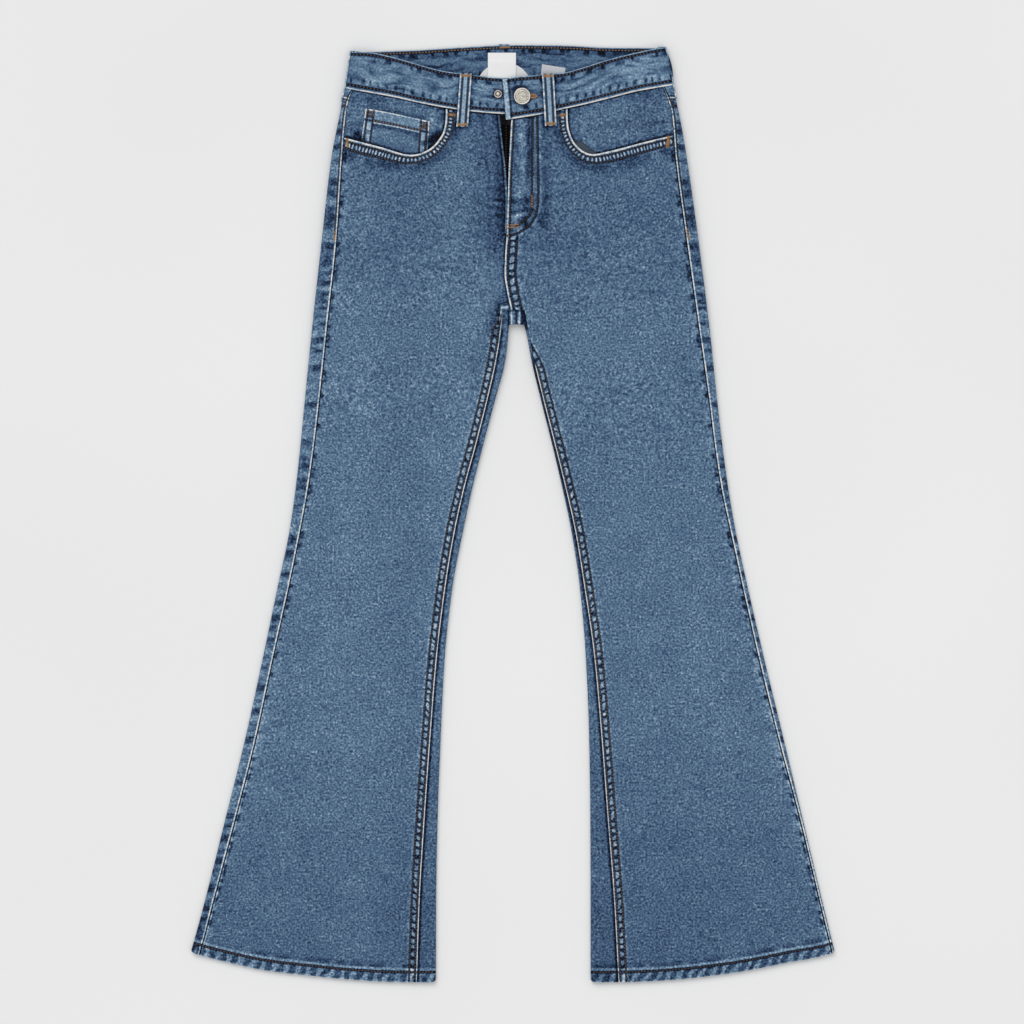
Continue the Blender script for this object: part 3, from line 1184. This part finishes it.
def zone_band(n):
    """The waistband: pale edges, two rows of thread, and crinkles that run along it."""
    s, d, w = n.seam("band")
    drift = n.noise(n.vector(s * 0.02, d * 0.04, 1.0), 1.0, 1.0)
    streak = n.vector(s * 0.035 + d * 0.02, d * 0.16 + drift * 4.0, 4.0)
    crinkle = n.math("MINIMUM", n.noise(streak, 1.0, 2.0, 0.55) - 0.5, 0.06)
    crinkle = crinkle * n.ease(d, 4.0, 12.0, 0.4, 1.0) * n.ease(d, 33.0, 39.0, 1.0, 0.3)
    sway = n.noise(n.vector(s * 0.05, d * 0.04, 7.0), 1.0, 1.0)
    train = n.ease(n.sine(s, 9.6, sway * 9.0), 0.1, 0.9)
    low = n.between(d, 6.0, 8.5, 10.5, 14.5) * train * n.ease(sway, 0.3, 0.5, 0.3, 1.0)
    high = n.between(d, 30.0, 36.0, 37.0, 38.4) * n.spots(s, d, 7.0, 0.05, 0.5, 0.66, 6.0)
    dark = low + high
    light = n.between(d, 5.4, 7.2, 9.0, 17.0) * n.spots(s, d, 8.5, 0.05, 0.5, 0.36)
    row, dip = n.rows(d, BAND_ROWS, -0.64, 1.7)
    edges = n.worn_edge(s, d, 1.3, 0.5) + n.ease(d, 40.6, 41.2) * 0.2
    value = crinkle * 1.3 + dark * -0.4 + light * 0.1 + row + edges + 0.03
    return w, value, crinkle * 0.0012 + dark * -0.0004 + dip


def zone_loop(n):
    """A belt loop: pale folded edges and middle, with two rows of thread."""
    s, d, w = n.seam("loop")
    edge = n.fall(d, 1.2, 2.0) + n.ease(d, 11.2, 12.0)
    row, dip = n.rows(d, (3.2, 10.0), -0.42, 0.9)
    middle = n.between(d, 4.2, 5.2, 8.0, 9.0)
    mottle = n.noise(n.vector(s * 0.22, d * 0.2, 1.0), 1.0, 2.0) - 0.5
    return w, edge * 0.3 + row + middle * 0.2 + mottle * (edge + 0.25), dip


def zone_coin(n):
    """The coin pocket: pale edges, twin rows down its sides, and a stitched top hem."""
    _, side, w = n.seam("coin_side")
    s, top, _ = n.seam("coin_top")
    edge = n.math("MAXIMUM", n.worn_edge(top, side, 1.1, 0.36), n.worn_edge(s, top, 1.2, 0.36))
    row, dip = n.rows(side, COIN_ROWS, -0.42, 0.9)
    top_row, top_dip = n.rows(top, (COIN_TOP_ROW,), -0.5, 1.2)
    beyond = n.ease(side, 9.6, 10.6)
    corner = n.between(side, 1.4, 2.2, 9.6, 10.6) * n.between(top, 1.2, 2.0, 9.4, 10.4)
    bars = n.between(side, 3.4, 4.2, 7.8, 8.6) * n.spots(top, side, 4.5, 0.05, 0.42, 0.6)
    below = n.bell(top, 14.3, 0.7) * 0.32 - n.between(top, 15.0, 15.8, 16.6, 22.0) * 0.24
    value = edge + row + top_row + bars * 0.26 + n.fall(top, 9.0, 11.5) * 0.08
    return w, value + corner * -0.4 + below * beyond, dip + top_dip


def zone_yoke(n):
    """The yoke's felled seam: dark below, two rows of thread and a pale edge at its top."""
    s, d, w = n.seam("yoke")
    row, dip = n.rows(d, YOKE_ROWS, -0.36)
    bars = n.between(d, 2.4, 3.6, 7.4, 8.6) * n.spots(s, d, 3.0, 0.1, 0.4, 0.6)
    dark = n.bell(d, 12.9, 0.8) + n.bell(d, -1.2, 1.2)
    return w, n.bell(d, 11.3, 0.7) * 0.4 + dark * -0.3 + row + bars * 0.2, dip


def zone_crotch(n):
    """Where the four seams meet: the rise's felled band goes on under the cross seam."""
    x, y, w = n.seam("crotch")
    dashes = n.ease(n.sine(y, 5.0), -0.2, 0.5)
    cream = n.bell(x, -1.0, 1.0) + n.bell(x, 7.6, 1.2) * 0.8 + n.bell(x, 1.8, 1.3) * dashes * 0.5
    black = n.bell(x, -4.4, 1.1) + n.bell(x, 4.8, 0.9) * 0.8 + n.ease(x, 8.8, 10.4)
    black += n.bell(y, 227.6, 1.2) * n.ease(x, -7.0, -5.0)
    eye = n.bell(x, -7.2, 1.2) * n.bell(y, 218.0, 2.0)
    return w, cream * 0.42 + black * -0.42 + eye * -0.4, 0.0


def zone_patch(n):
    """A back pocket: a pale edge, two rows of thread round it and one under its hem."""
    s, d, w = n.seam("patch")
    row, dip = n.rows(d, (2.2, 8.4))
    hem_row, hem_dip = n.rows(n.seam("patch_top")[1], (12.5,))
    return w, n.worn_edge(s, d, 1.2, 0.4) + row + hem_row, dip + hem_dip


def zone_centre(n):
    """The back's centre seam."""
    s, d, w = n.seam("centre")
    row, dip = n.rows(d, (1.9, 8.2), -0.34)
    return w, n.worn_edge(s, d, 1.2, 0.4) + row, dip


def denim(name, zones, tone=0.5, worn=1.0):
    """Washed indigo twill: grain, curling pale and dark threads, with the seams' own marks."""
    n = Nodes(name)
    grain = n.noise(n.place, 430, 1.0, 0.6)
    bend = n.noise(n.place, 52, 1.0)
    shake = n.noise(n.place, 290, 1.0)
    curls = n.math("SINE", bend * (2 * math.pi * 12) + shake * 3.2)
    curls = curls * n.ease(n.noise(n.place, 110, 1.0), 0.4, 0.6)
    worm = n.ease(n.math("ABSOLUTE", n.noise(n.place, 190) - 0.5), 0.06, 0.0)
    worm = worm * n.ease(n.noise(n.place, 95, 1.0), 0.48, 0.62)
    twill = n.wave(n.place, 170, 0.6, 1.0)
    cloud = n.noise(n.place, 26, 2.0)
    value = (grain - 0.5) * (0.9 * worn) + curls * (0.075 * worn) + worm * (0.1 * worn)
    value += (cloud - 0.5) * 0.12 + n.number("wash") + tone
    relief = grain * 0.00016 + curls * 0.00003 + twill * 0.00006
    for zone in zones:
        strength, lightness, height = zone(n)
        value, relief = value + lightness * strength, relief + height * strength
    colour = n.ramp(n.math("MULTIPLY", value, 1.0, clamp=True), INDIGO)
    return n.finish(colour, 0.9, relief, Sheen_Weight=0.03, Sheen_Roughness=0.5, Specular_IOR_Level=0.08)


def plain_cloth(name, stops, scale=900, rough=0.85, sheen=0.1, contrast=1.0, shine=0.2):
    n = Nodes(name)
    weave = n.noise(n.place, scale, 2.0)
    bands = n.wave(n.place, scale * 0.5, 0.3)
    value = (weave - 0.5) * (0.5 * contrast) + (bands - 0.5) * (0.15 * contrast) + 0.5
    colour, relief = n.ramp(value, stops), weave * 0.0002
    return n.finish(colour, rough, relief, Sheen_Weight=sheen, Specular_IOR_Level=shine)


def thread_material(name, stops):
    n = Nodes(name)
    twist = n.wave(n.place, 700, 0.4)
    value = n.number("tint") + (twist - 0.5) * 0.25
    return n.finish(n.ramp(value, stops), 0.6, twist * 0.0001, Sheen_Weight=0.15)


def metal_material(name, stops, centre, rings):
    """Satin metal with turned rings round its centre, each a radius, a width and how light it is."""
    n = Nodes(name)
    x, y, _ = n.split(n.place)
    dx, dy = x - centre[0] * MM, y - centre[1] * MM
    radius = n.math("SQRT", dx * dx + dy * dy) * (1 / MM)
    grains = n.noise(n.place, 900, 1.0)
    value = (n.noise(n.place, 300, 2.0) - 0.5) * 0.5 + (grains - 0.5) * 0.9 + 0.52
    relief = grains * 0.00015
    for at, width, light in rings:
        ring = n.bell(radius, at, width)
        value, relief = value + ring * light, relief + ring * (0.0002 * light)
    return n.finish(n.ramp(value, stops), 0.5, relief, Metallic=0.55)


ZIP_X, ZIP_PITCH = -7.2, 3.0


def zip_material():
    """Dark tape, and on the chain brass teeth with dark gaps."""
    n = Nodes("zip_chain")
    x, y, _ = n.split(n.place)
    value = n.ease(n.sine(y, ZIP_PITCH * MM), 0.2, 0.8) * n.bell(x, ZIP_X * MM, 0.5 * MM)
    colour = n.ramp(value, [(0.0, (3, 4, 6)), (0.6, (18, 14, 13)), (1.0, (140, 92, 58))])
    return n.finish(colour, 0.9, value * 0.0003, Specular_IOR_Level=0.05)


BRASS = [(0.0, (8, 7, 8)), (0.6, (20, 16, 15)), (1.0, (72, 52, 38))]
BROWN_THREAD = [
    (0.0, (14, 12, 14)), (0.3, (44, 34, 31)), (0.55, (92, 70, 56)), (0.8, (164, 132, 106)),
    (1.0, (224, 206, 184)),
]
ORANGE_THREAD = [(0.0, (96, 66, 36)), (0.5, (160, 116, 64)), (1.0, (212, 168, 110))]
PALE_METAL = [(0.0, (58, 54, 50)), (0.3, (150, 144, 134)), (0.55, (205, 200, 190)), (1.0, (240, 237, 230))]

M_FRONT = denim("denim_front", [zone_side, zone_fell, zone_hem, zone_pocket, zone_waist, zone_lap, zone_fly])
M_BACK = denim("denim_back", [zone_side_back, zone_fell_back, zone_hem, zone_yoke, zone_centre, zone_crotch])
M_BAND = denim("denim_band", [zone_band, zone_band_end], tone=0.5, worn=0.6)
M_FACING = denim("denim_facing", [zone_under, zone_waist], tone=0.47, worn=1.0)
M_COIN = denim("denim_coin", [zone_under, zone_coin], tone=0.5, worn=0.8)
M_LOOP = denim("denim_loop", [zone_loop], tone=0.5, worn=0.4)
M_PATCH = denim("denim_patch", [zone_patch], tone=0.47)
M_INSIDE = plain_cloth("denim_inside", [(0.2, (9, 12, 20)), (0.8, (22, 30, 44))])
M_LINING = plain_cloth("lining", [(0.2, (50, 60, 72)), (0.8, (78, 90, 104))], 1300)
M_LABEL = plain_cloth("label", [(0.2, (222, 222, 222)), (0.8, (240, 240, 240))], 1500, 0.5, 0.05, 0.6)
M_CARE = plain_cloth("label_satin", [(0.2, (205, 205, 206)), (0.8, (224, 224, 225))], 1500, 0.5, 0.05, 0.6)
M_SIDE = plain_cloth("label_woven", [(0.2, (160, 165, 172)), (0.8, (206, 209, 214))], 700, 0.6, 0.05, 0.6)
M_BROWN = thread_material("thread_brown", BROWN_THREAD)
M_ORANGE = thread_material("thread_orange", ORANGE_THREAD)
M_BUTTON = metal_material("button_metal", PALE_METAL, BUTTON, [
    (9.5, 0.5, -0.5), (8.5, 0.5, 0.3), (7.4, 0.4, -0.22), (5.2, 0.4, -0.15), (3.3, 0.4, -0.15),
    (0, 0.9, -0.2),
])
M_TACK = metal_material("tack_metal", PALE_METAL, WAIST_TACK, [
    (4.8, 0.5, -0.7), (2.6, 0.6, -0.55), (0, 1.2, 0.3),
])
M_ZIP = zip_material()
M_PULL = plain_cloth("slider_brass", BRASS, 600, 0.9, 0.0, shine=0.05)


def back_pocket_outline(side):
    p = BACK_POCKET
    half, high = p["width"] / 2, p["tall"] / 2
    right = [
        (half - p["corner"], high), (half, high - p["corner"]), (half - p["taper"], p["point"] - high),
        (0, -high),
    ]
    x, y = np.array(right + [(-x, y) for x, y in right[2::-1]] + right[:1]).T
    a = math.radians(side * p["turn"])
    x, y = x * math.cos(a) - y * math.sin(a), x * math.sin(a) + y * math.cos(a)
    return np.column_stack([side * p["x"] + CENTRE_BACK(p["y"]) + x, p["y"] + y])


def pocket_seams(side):
    """The back pocket's outline starts and ends at a corner of its hem, which is the last side."""
    outline = back_pocket_outline(side)

    def seams(x, y, z):
        d, s, _ = nearest(outline, x, y)
        top = nearest(outline[-2:], x, y)[0]
        return {"patch": along(s, d), "patch_top": along(s, top)}

    return seams


def side_loop_seams(side):
    """Across a side loop is round the waistband's fold, and then flat under it."""

    def seams(x, y, z):
        f = BAND_FOLD[side]
        edge = lerp(f["low_x"], f["high_x"], (y - f["low_y"]) / (f["high_y"] - f["low_y"]))
        radius = (BAND_TOP - REST_LIFT) / 2
        out, up = side * (x - edge) + radius, z - REST_LIFT - radius
        turned = math.radians(32) - np.arctan2(up, np.maximum(out, 0.01))
        turned = np.where(out > 0, turned, math.radians(122))
        return {"loop": along(y, turned * (radius + LOOP_WALL) - np.minimum(out, 0))}

    return seams


def back_loop_seams(x, y, z):
    return {"loop": along(y, x - x.min())}


def soft_copy(node, material, seams=None):
    """A cloth node's shape, with round edges and a finer, slightly uneven surface, in its place."""
    bm = bmesh.new()
    bm.from_mesh(frame["nodes"][node].data)
    bmesh.ops.remove_doubles(bm, verts=bm.verts, dist=0.05 * MM)
    inner = [edge for edge in bm.edges if len(edge.link_faces) == 2]
    sharp = [edge for edge in inner if edge.calc_face_angle() > math.radians(40)]
    bmesh.ops.bevel(bm, geom=sharp, offset=0.35 * MM, segments=2, profile=0.5, affect="EDGES")
    for _ in range(5):
        long = [edge for edge in bm.edges if edge.calc_length() > 6 * MM]
        bmesh.ops.subdivide_edges(bm, edges=long, cuts=1)
        bmesh.ops.triangulate(bm, faces=bm.faces)
    mesh = bpy.data.meshes.new(f"{node}_cloth")
    bm.to_mesh(mesh)
    bm.free()
    points = np.empty(len(mesh.vertices) * 3)
    mesh.vertices.foreach_get("co", points)
    points = points.reshape(-1, 3) / MM
    faces = np.empty(len(mesh.polygons) * 3, int)
    mesh.polygons.foreach_get("vertices", faces)
    bpy.data.meshes.remove(mesh)
    x, y, _ = points.T
    points[:, 2] += 0.06 * (1 + noise(x / 17, y / 21, 61))
    attributes = seams(*points.T) if seams else {}
    cloth(node, material, (points, faces.reshape(-1, 3), attributes))


def clad(node, material):
    """A better material on a hard node of the part, which keeps its own shape."""
    for held in frame["nodes"][node].material_slots:
        held.link = "OBJECT"
        held.material = material


clad("zip", M_ZIP)
clad("zip_slider", M_PULL)
soft_copy("pocket_bag_right", M_LINING)
soft_copy("pocket_bag_left", M_LINING)
soft_copy("back_pocket_right", M_PATCH, pocket_seams(RIGHT))
soft_copy("back_pocket_left", M_PATCH, pocket_seams(LEFT))
soft_copy("belt_loop_side_right", M_LOOP, side_loop_seams(RIGHT))
soft_copy("belt_loop_side_left", M_LOOP, side_loop_seams(LEFT))
soft_copy("belt_loop_back", M_LOOP, back_loop_seams)
soft_copy("fly_shield", M_INSIDE)
soft_copy("label_name", M_LABEL)
soft_copy("label_care", M_CARE)
soft_copy("label_side", M_SIDE)

for side, word in WORD.items():
    cloth(f"front_{word}", M_FRONT, front_panel(side))
    cloth(f"back_{word}", M_BACK, back_panel(side))
    cloth(f"yoke_{word}", M_BACK, yoke(side))
    cloth(f"pocket_facing_{word}", M_FACING, facing(side))
    cloth(f"belt_loop_front_{word}", M_LOOP, front_loop(side))
cloth("waistband", M_BAND, waistband())
cloth("coin_pocket", M_COIN, coin_pocket())


# Thread
def resample(points, spacing):
    points = np.asarray(points, float)
    total = lengths(points)[-1]
    count = max(2, int(round(total / spacing)) + 1)
    return along_chain(points, np.linspace(0, total, count))


CAPSULE_AT = np.array([-0.5, -0.36, 0.0, 0.36, 0.5])
CAPSULE_WIDE = np.array([0.3, 0.85, 1.0, 0.85, 0.3])
CAPSULE_SIDES = 6


def capsules(starts, ends, light, radius, dip, seed):
    """Short stitches from starts to ends, three columns each, which dip into the cloth at both ends."""
    starts, ends = np.asarray(starts, float), np.asarray(ends, float)
    n = len(starts)
    middle, run = (starts + ends) / 2, ends - starts
    length = np.linalg.norm(run, axis=1, keepdims=True)
    run = run / length
    sideways = np.stack([-run[:, 1], run[:, 0], 0 * run[:, 0]], -1)
    sideways /= np.linalg.norm(sideways, axis=1, keepdims=True)
    up = np.cross(run, sideways)
    points = []
    for at, wide in zip(CAPSULE_AT, CAPSULE_WIDE):
        for k in range(CAPSULE_SIDES):
            a = 2 * math.pi * k / CAPSULE_SIDES
            p = middle + run * length * at
            p = p + sideways * math.cos(a) * wide * radius + up * math.sin(a) * wide * radius * 0.8
            p[:, 2] -= dip * (2 * abs(at)) ** 2
            points.append(p)
    points = np.stack(points, 1)
    rings, sides = len(CAPSULE_AT), CAPSULE_SIDES
    faces = []
    for r in range(rings - 1):
        for k in range(sides):
            a, b = r * sides + k, r * sides + (k + 1) % sides
            faces.append((a, b, b + sides, a + sides))
    ends_faces = [tuple(range(sides))[::-1], tuple(range((rings - 1) * sides, rings * sides))]
    quads = (np.array(faces)[None] + (np.arange(n) * rings * sides)[:, None, None]).reshape(-1, 4)
    bases = range(0, n * rings * sides, rings * sides)
    caps = [tuple(i + base for i in cap) for base in bases for cap in ends_faces]
    tint = np.repeat(light + 0.5 * (hashed(np.arange(n), np.full(n, seed)) - 0.5), rings * sides)
    return points.reshape(-1, 3), quads, caps, tint


def row_of_stitches(line, height, stitch=2.6, gap=0.7, light=0.2):
    """Stitches along a chain of points, lying on a height. Light is 0 for black to 1 for cream."""
    points = resample(line, stitch + gap)
    step = np.diff(points, axis=0)
    length = np.hypot(*step.T)[:, None]
    keep = (length - gap) / length
    a = points[:-1] + step * (1 - keep) / 2
    b = points[1:] - step * (1 - keep) / 2
    at = lambda p: np.column_stack([p, height(p[:, 0], p[:, 1])])
    return at(a), at(b), np.full(len(a), light)


def tack_of_stitches(x0, y0, x1, y1, width, height, pitch=0.8, light=0.5):
    """A bar tack: threads packed side by side across a short line."""
    count = max(3, int(math.hypot(x1 - x0, y1 - y0) / pitch))
    t = np.linspace(0, 1, count)
    x, y = lerp(x0, x1, t), lerp(y0, y1, t)
    length = math.hypot(x1 - x0, y1 - y0)
    nx, ny = -(y1 - y0) / length * width / 2, (x1 - x0) / length * width / 2
    skew = 0.25 * pitch * np.where(np.arange(count) % 2, 1, -1)
    a = np.column_stack([x + nx + skew, y + ny, height(x, y)])
    b = np.column_stack([x - nx - skew, y - ny, height(x, y)])
    return a, b, np.full(count, light)


def sew(name, rows, material, radius, dip):
    starts, ends, light = (np.concatenate(parts) for parts in zip(*rows))
    points, quads, caps, tint = capsules(starts, ends, light, radius, dip, len(name))
    piece(name, points, quads.tolist() + caps, material, attributes={"tint": tint})


def on_front(side):
    return lambda x, y: front_top(side, x, y) + 0.25


def on_back(side):
    return lambda x, y: cloth_top(side, x, y, False) + 0.25


def on_band(side, raised=0.0):
    def height(x, y):
        band = FRONT_BAND[side]
        v = (y - band["low"](x)) / (band["high"](x) - band["low"](x))
        return band_top(side, x) + 0.3 * np.sin(math.pi * np.clip(v, 0, 1)) - 0.1 + raised
    return height


def flat_on(z):
    return lambda x, y: np.full(np.shape(x), z)


brown, orange = [], []
for side in (RIGHT, LEFT):
    outseam, inseam = SIDE[side]["outseam"], INSIDE[side]["inseam"]
    for d in FELL_ROWS:
        y = np.arange(-522, 226, 4.0)
        away = (d - fell_shift(side, y)) / fell_scale(side, y)
        y, away = y[away > 0.6], away[away > 0.6]
        line = np.column_stack([inseam(y) + side * away, y])
        brown.append(row_of_stitches(line, on_front(side), 2.4, 1.0, 0.35))
    hem_rows = [
        (outseam(-486) - side, inseam(-512) + side, 60, on_front(side)),
        (SIDE[side]["outer"](-480) - side * 2.2, outseam(-482) + side * 0.8, 4, on_back(side)),
        (inseam(-512) - side, INSIDE[side]["inner"](-512) + side * 2.4, 6, on_back(side)),
    ]
    # The strip beyond the left outseam is too narrow at the hem for a row
    if side == LEFT:
        del hem_rows[1]
    for from_x, to_x, count, height in hem_rows:
        x = np.linspace(from_x, to_x, count)
        brown.append(row_of_stitches(np.column_stack([x, hem(x) + HEM_ROW]), height, 2.5, 1.0, 0.4))
    for d in POCKET_ROWS:
        line = offset_line(POCKET[side], side * d * POCKET_WIDER[side](lengths(POCKET[side])))
        line = line[line[:, 1] < FRONT_BAND[side]["low"](line[:, 0]) - 1.5]
        brown.append(row_of_stitches(line, on_front(side), 2.1, 1.1, 0.4))
    y = np.arange(312, 470, 4.0)
    brown.append(row_of_stitches(np.column_stack([outseam(y) + side * 2.2, y]), on_back(side), 2.6, 0.8))
    foot_y = 306 if side == RIGHT else 308
    top_x, foot_x = (float(outseam(y)) + side * 2.1 for y in (foot_y + 11, foot_y))
    orange.append(tack_of_stitches(top_x, foot_y + 11, foot_x, foot_y, 2.2, on_back(side), 0.7))
    for d in YOKE_ROWS:
        y = yoke_seam(side * 185) + d
        x = np.linspace(outseam(y) + side * 0.8, SIDE[side]["outer"](y) - side * 2.2, 3)
        brown.append(row_of_stitches(np.column_stack([x, np.full(3, y)]), on_back(side), 2.2, 0.6, 0.5))

# The waistband's threads
for side, row, from_x, to_x in (
    (RIGHT, 0, -184, -13), (RIGHT, 1, -180, -14), (LEFT, 0, 0, 176), (LEFT, 1, -3, 168),
):
    x, band = np.linspace(from_x, to_x, 70), FRONT_BAND[side]
    line = np.column_stack([x, lerp(band["low"](x), band["high"](x), BAND_ROWS[row] / BAND_WIDTH)])
    brown.append(row_of_stitches(line, on_band(side), 1.9, 2.0, 0.6))
x = np.linspace(-160, 150, 60)
line = np.column_stack([x, lerp(BACK_BAND["low"](x), BACK_BAND["high"](x), BAND_ROWS[1] / BAND_WIDTH)])
brown.append(row_of_stitches(line, flat_on(REST_LIFT + BAND_WALL + 0.1), 2.6, 1.0, 0.7))
y = np.linspace(446, 483, 12)
line = np.column_stack([-8 - LAP_END_LEAN * (y - 441.5) / 45 + 8.5, y])
brown.append(row_of_stitches(line, on_band(LEFT), 2.6, 0.6))

# The threads of the fly and the rise
for line in (J_OUTER, J_INNER):
    brown.append(row_of_stitches(line, on_front(LEFT), 2.5, 0.6))
for d, from_y, to_y in ((LAP_ROW, 322, 440), (3.6, 231, 309), (12.0, 231, 309)):
    y = np.arange(from_y, to_y, 4.0)
    brown.append(row_of_stitches(np.column_stack([CENTRE_FRONT["left"](y) + d, y]), on_front(LEFT), 2.5, 0.7))
orange.append(tack_of_stitches(22, 357, 22, 344, 2.0, on_front(LEFT)))
for y in (320.6, 323.4):
    orange.append(tack_of_stitches(-6.5, y, 7, y + 1, 1.8, on_front(LEFT), 1.0))
orange.append(row_of_stitches([(-4.4, 319), (-4.6, 306)], on_front(LEFT), 2.0, 0.9, 0.5))


# The coin pocket's threads
def coin_point(f, below):
    x = lerp(*coin_sides(below), f)
    return x, FRONT_BAND[RIGHT]["low"](x) - below


def on_coin(x, y):
    return facing_top(RIGHT, x, y) + SEAM_GAP + LIGHT_DENIM + 0.35


below = np.linspace(20, 60, 14)
for inset in COIN_ROWS:
    for start, sign in ((0, 1), (1, -1)):
        x, y = coin_point(start, below)
        brown.append(row_of_stitches(np.column_stack([x + sign * inset, y]), on_coin, 2.4, 0.6))
x, y = coin_point(np.linspace(0.13, 0.87, 20), COIN_TOP + COIN_TOP_ROW)
brown.append(row_of_stitches(np.column_stack([x, y]), on_coin, 2.2, 1.2, 0.6))
for start, sign in ((0, 1), (1, -1)):
    for k, light in enumerate((0.6, 0.35, 0.6, 0.35)):
        x, y = (float(c) for c in coin_point(start, 20.9 + 2 * k))
        brown.append(tack_of_stitches(x + sign * 2, y, x + sign * 9.6, y - 1, 1.5, on_coin, 1.6, light))

# The belt loops' threads
for side, (top_x, top_y, foot_x, foot_y) in FRONT_LOOPS.items():

    def on_loop(x, y, side=side, foot_y=foot_y, top_y=top_y):
        return loop_top(side, x, y, (y - foot_y) / (top_y - foot_y)) + 0.25

    for off in (-3.4, 3.4):
        line = [(foot_x + off, foot_y + 4), (top_x + off, top_y - 4)]
        brown.append(row_of_stitches(line, on_loop, 2.5, 0.6))
    for x, y in ((foot_x, foot_y + 2.6), (top_x, top_y - 2.6)):
        orange.append(tack_of_stitches(x - 5, y, x + 5, y, 3.8, on_loop))

# Bar tacks at the ends of the pocket openings
for side, x0, y0, x1, y1, width in (
    (RIGHT, -71, 447.4, -64.4, 446.4, 3.6), (RIGHT, -185.4, 419.8, -184.4, 411, 3.0),
    (LEFT, 52.6, 446, 59, 447, 3.6), (LEFT, 175, 423, 173.4, 411, 4.2),
):
    orange.append(tack_of_stitches(x0, y0, x1, y1, width, on_front(side)))

# The buttonhole's threads, round the eye and along the slit
slit = np.linspace(16, 25.5, 9)
hole = [(x, BUTTON[1] + 2.6) for x in slit] + [(28.6, BUTTON[1])] + [(x, BUTTON[1] - 2.6) for x in slit[::-1]]
hole = resample(hole, 0.8)
inward = np.column_stack([np.clip(hole[:, 0] - 1.2, 16, 26.2), BUTTON[1] + (hole[:, 1] - BUTTON[1]) * 0.15])
top = on_band(LEFT)
sides = [np.column_stack([points, top(*points.T) + up]) for points, up in ((hole, 0.5), (inward, 0.4))]
orange.append((*sides, np.full(len(hole), 0.5)))

# The tack in the back of the waistband, from the loop behind it
orange.append(tack_of_stitches(-13.5, 522.6, -3.5, 523.2, 2.2, flat_on(REST_LIFT + BAND_WALL + 0.3)))

sew("stitches_brown", brown, M_BROWN, 0.78, 0.4)
sew("stitches_orange", orange, M_ORANGE, 0.46, 0.25)


# Metal
def lathe(name, profile, x, y, material, node, segments=72):
    profile = np.array(profile, float)
    angles = np.linspace(0, 2 * math.pi, segments, endpoint=False)
    rings = []
    for r, z in profile[1:-1]:
        rings.append(np.column_stack([x + r * np.cos(angles), y + r * np.sin(angles), np.full(segments, z)]))
    points = np.concatenate([[[x, y, profile[0, 1]]], *rings, [[x, y, profile[-1, 1]]]])
    faces = []
    last = len(points) - 1
    for k in range(segments):
        after = (k + 1) % segments
        faces.append((0, 1 + after, 1 + k))
        for r in range(len(rings) - 1):
            a, b = 1 + r * segments + k, 1 + r * segments + after
            faces.append((a, b, b + segments, a + segments))
        base = 1 + (len(rings) - 1) * segments
        faces.append((base + k, base + after, last))
    piece(name, points, faces, material, node, sharp=40)


foot = BAND_TOP + SEAM_GAP
cap = foot + LAP_RAISE
lathe("button_metal", [
    (0, foot), (3, foot), (3, cap), (8.8, cap), (9.5, cap + 0.4), (9.8, cap + 0.9), (9.75, cap + 1.5),
    (9.3, cap + 2.0), (8.7, cap + 2.15), (8.1, cap + 2.05), (7.6, cap + 1.75), (7.1, cap + 1.7),
    (6.0, cap + 1.85), (5.4, cap + 2.0), (4.9, cap + 1.85), (3.4, cap + 1.95), (2.2, cap + 2.1),
    (1.0, cap + 2.2), (0, cap + 2.2),
], *BUTTON[:2], M_BUTTON, "button")
lathe("tack_metal", [
    (0, foot), (5, foot), (5, foot + 0.4), (4.7, foot + 0.85), (4.1, foot + 1.0), (3.5, foot + 0.8),
    (3.0, foot + 0.6), (2.5, foot + 0.65), (2.3, foot + 1.1), (1.9, foot + 1.6), (1.0, foot + 1.85),
    (0, foot + 1.9),
], *WAIST_TACK[:2], M_TACK, "waist_tack", 48)

# Floor, light and camera
plane = bpy.data.meshes.new("floor")
plane.from_pydata([(-8, -8, 0), (8, -8, 0), (8, 8, 0), (-8, 8, 0)], [], [(0, 1, 2, 3)])
floor = bpy.data.objects.new("floor", plane)
bpy.context.scene.collection.objects.link(floor)
floor_nodes = Nodes("floor")
cloudy = floor_nodes.noise(floor_nodes.place, 3.0)
white = floor_nodes.ramp(cloudy, [(0.0, (232, 232, 232)), (1.0, (236, 236, 236))])
floor_nodes.finish(white, 0.9, Specular_IOR_Level=0.1)
plane.materials.append(floor_nodes.material)

world = bpy.data.worlds.new("studio")
bpy.context.scene.world = world
world.use_nodes = True
background = world.node_tree.nodes["Background"]
background.inputs["Color"].default_value = (1, 1, 1, 1)
background.inputs["Strength"].default_value = 0.62


def sun(name, towards, strength, angle):
    light = bpy.data.lights.new(name, "SUN")
    light.energy = strength
    light.angle = math.radians(angle)
    obj = bpy.data.objects.new(name, light)
    bpy.context.scene.collection.objects.link(obj)
    azimuth, elevation = (math.radians(a) for a in towards)
    obj.rotation_euler = (math.pi / 2 - elevation, 0, azimuth + math.pi / 2)


sun("key", (115, 46), 1.2, 45)
sun("fill", (300, 60), 0.35, 40)

# The camera looks straight down, with one scale over the whole garment
CAMERA_HEIGHT, PIXEL = 10.0, 1.12
camera_data = bpy.data.cameras.new("camera")
camera_data.lens = 36 * CAMERA_HEIGHT / (1024 * PIXEL * MM)
camera_data.sensor_width = 36
camera_data.clip_end = 100
camera = bpy.data.objects.new("camera", camera_data)
camera.location = (-0.56 * MM, 2.24 * MM, CAMERA_HEIGHT + 0.008)
bpy.context.scene.collection.objects.link(camera)
bpy.context.scene.camera = camera
bpy.context.scene.view_settings.view_transform = "Standard"
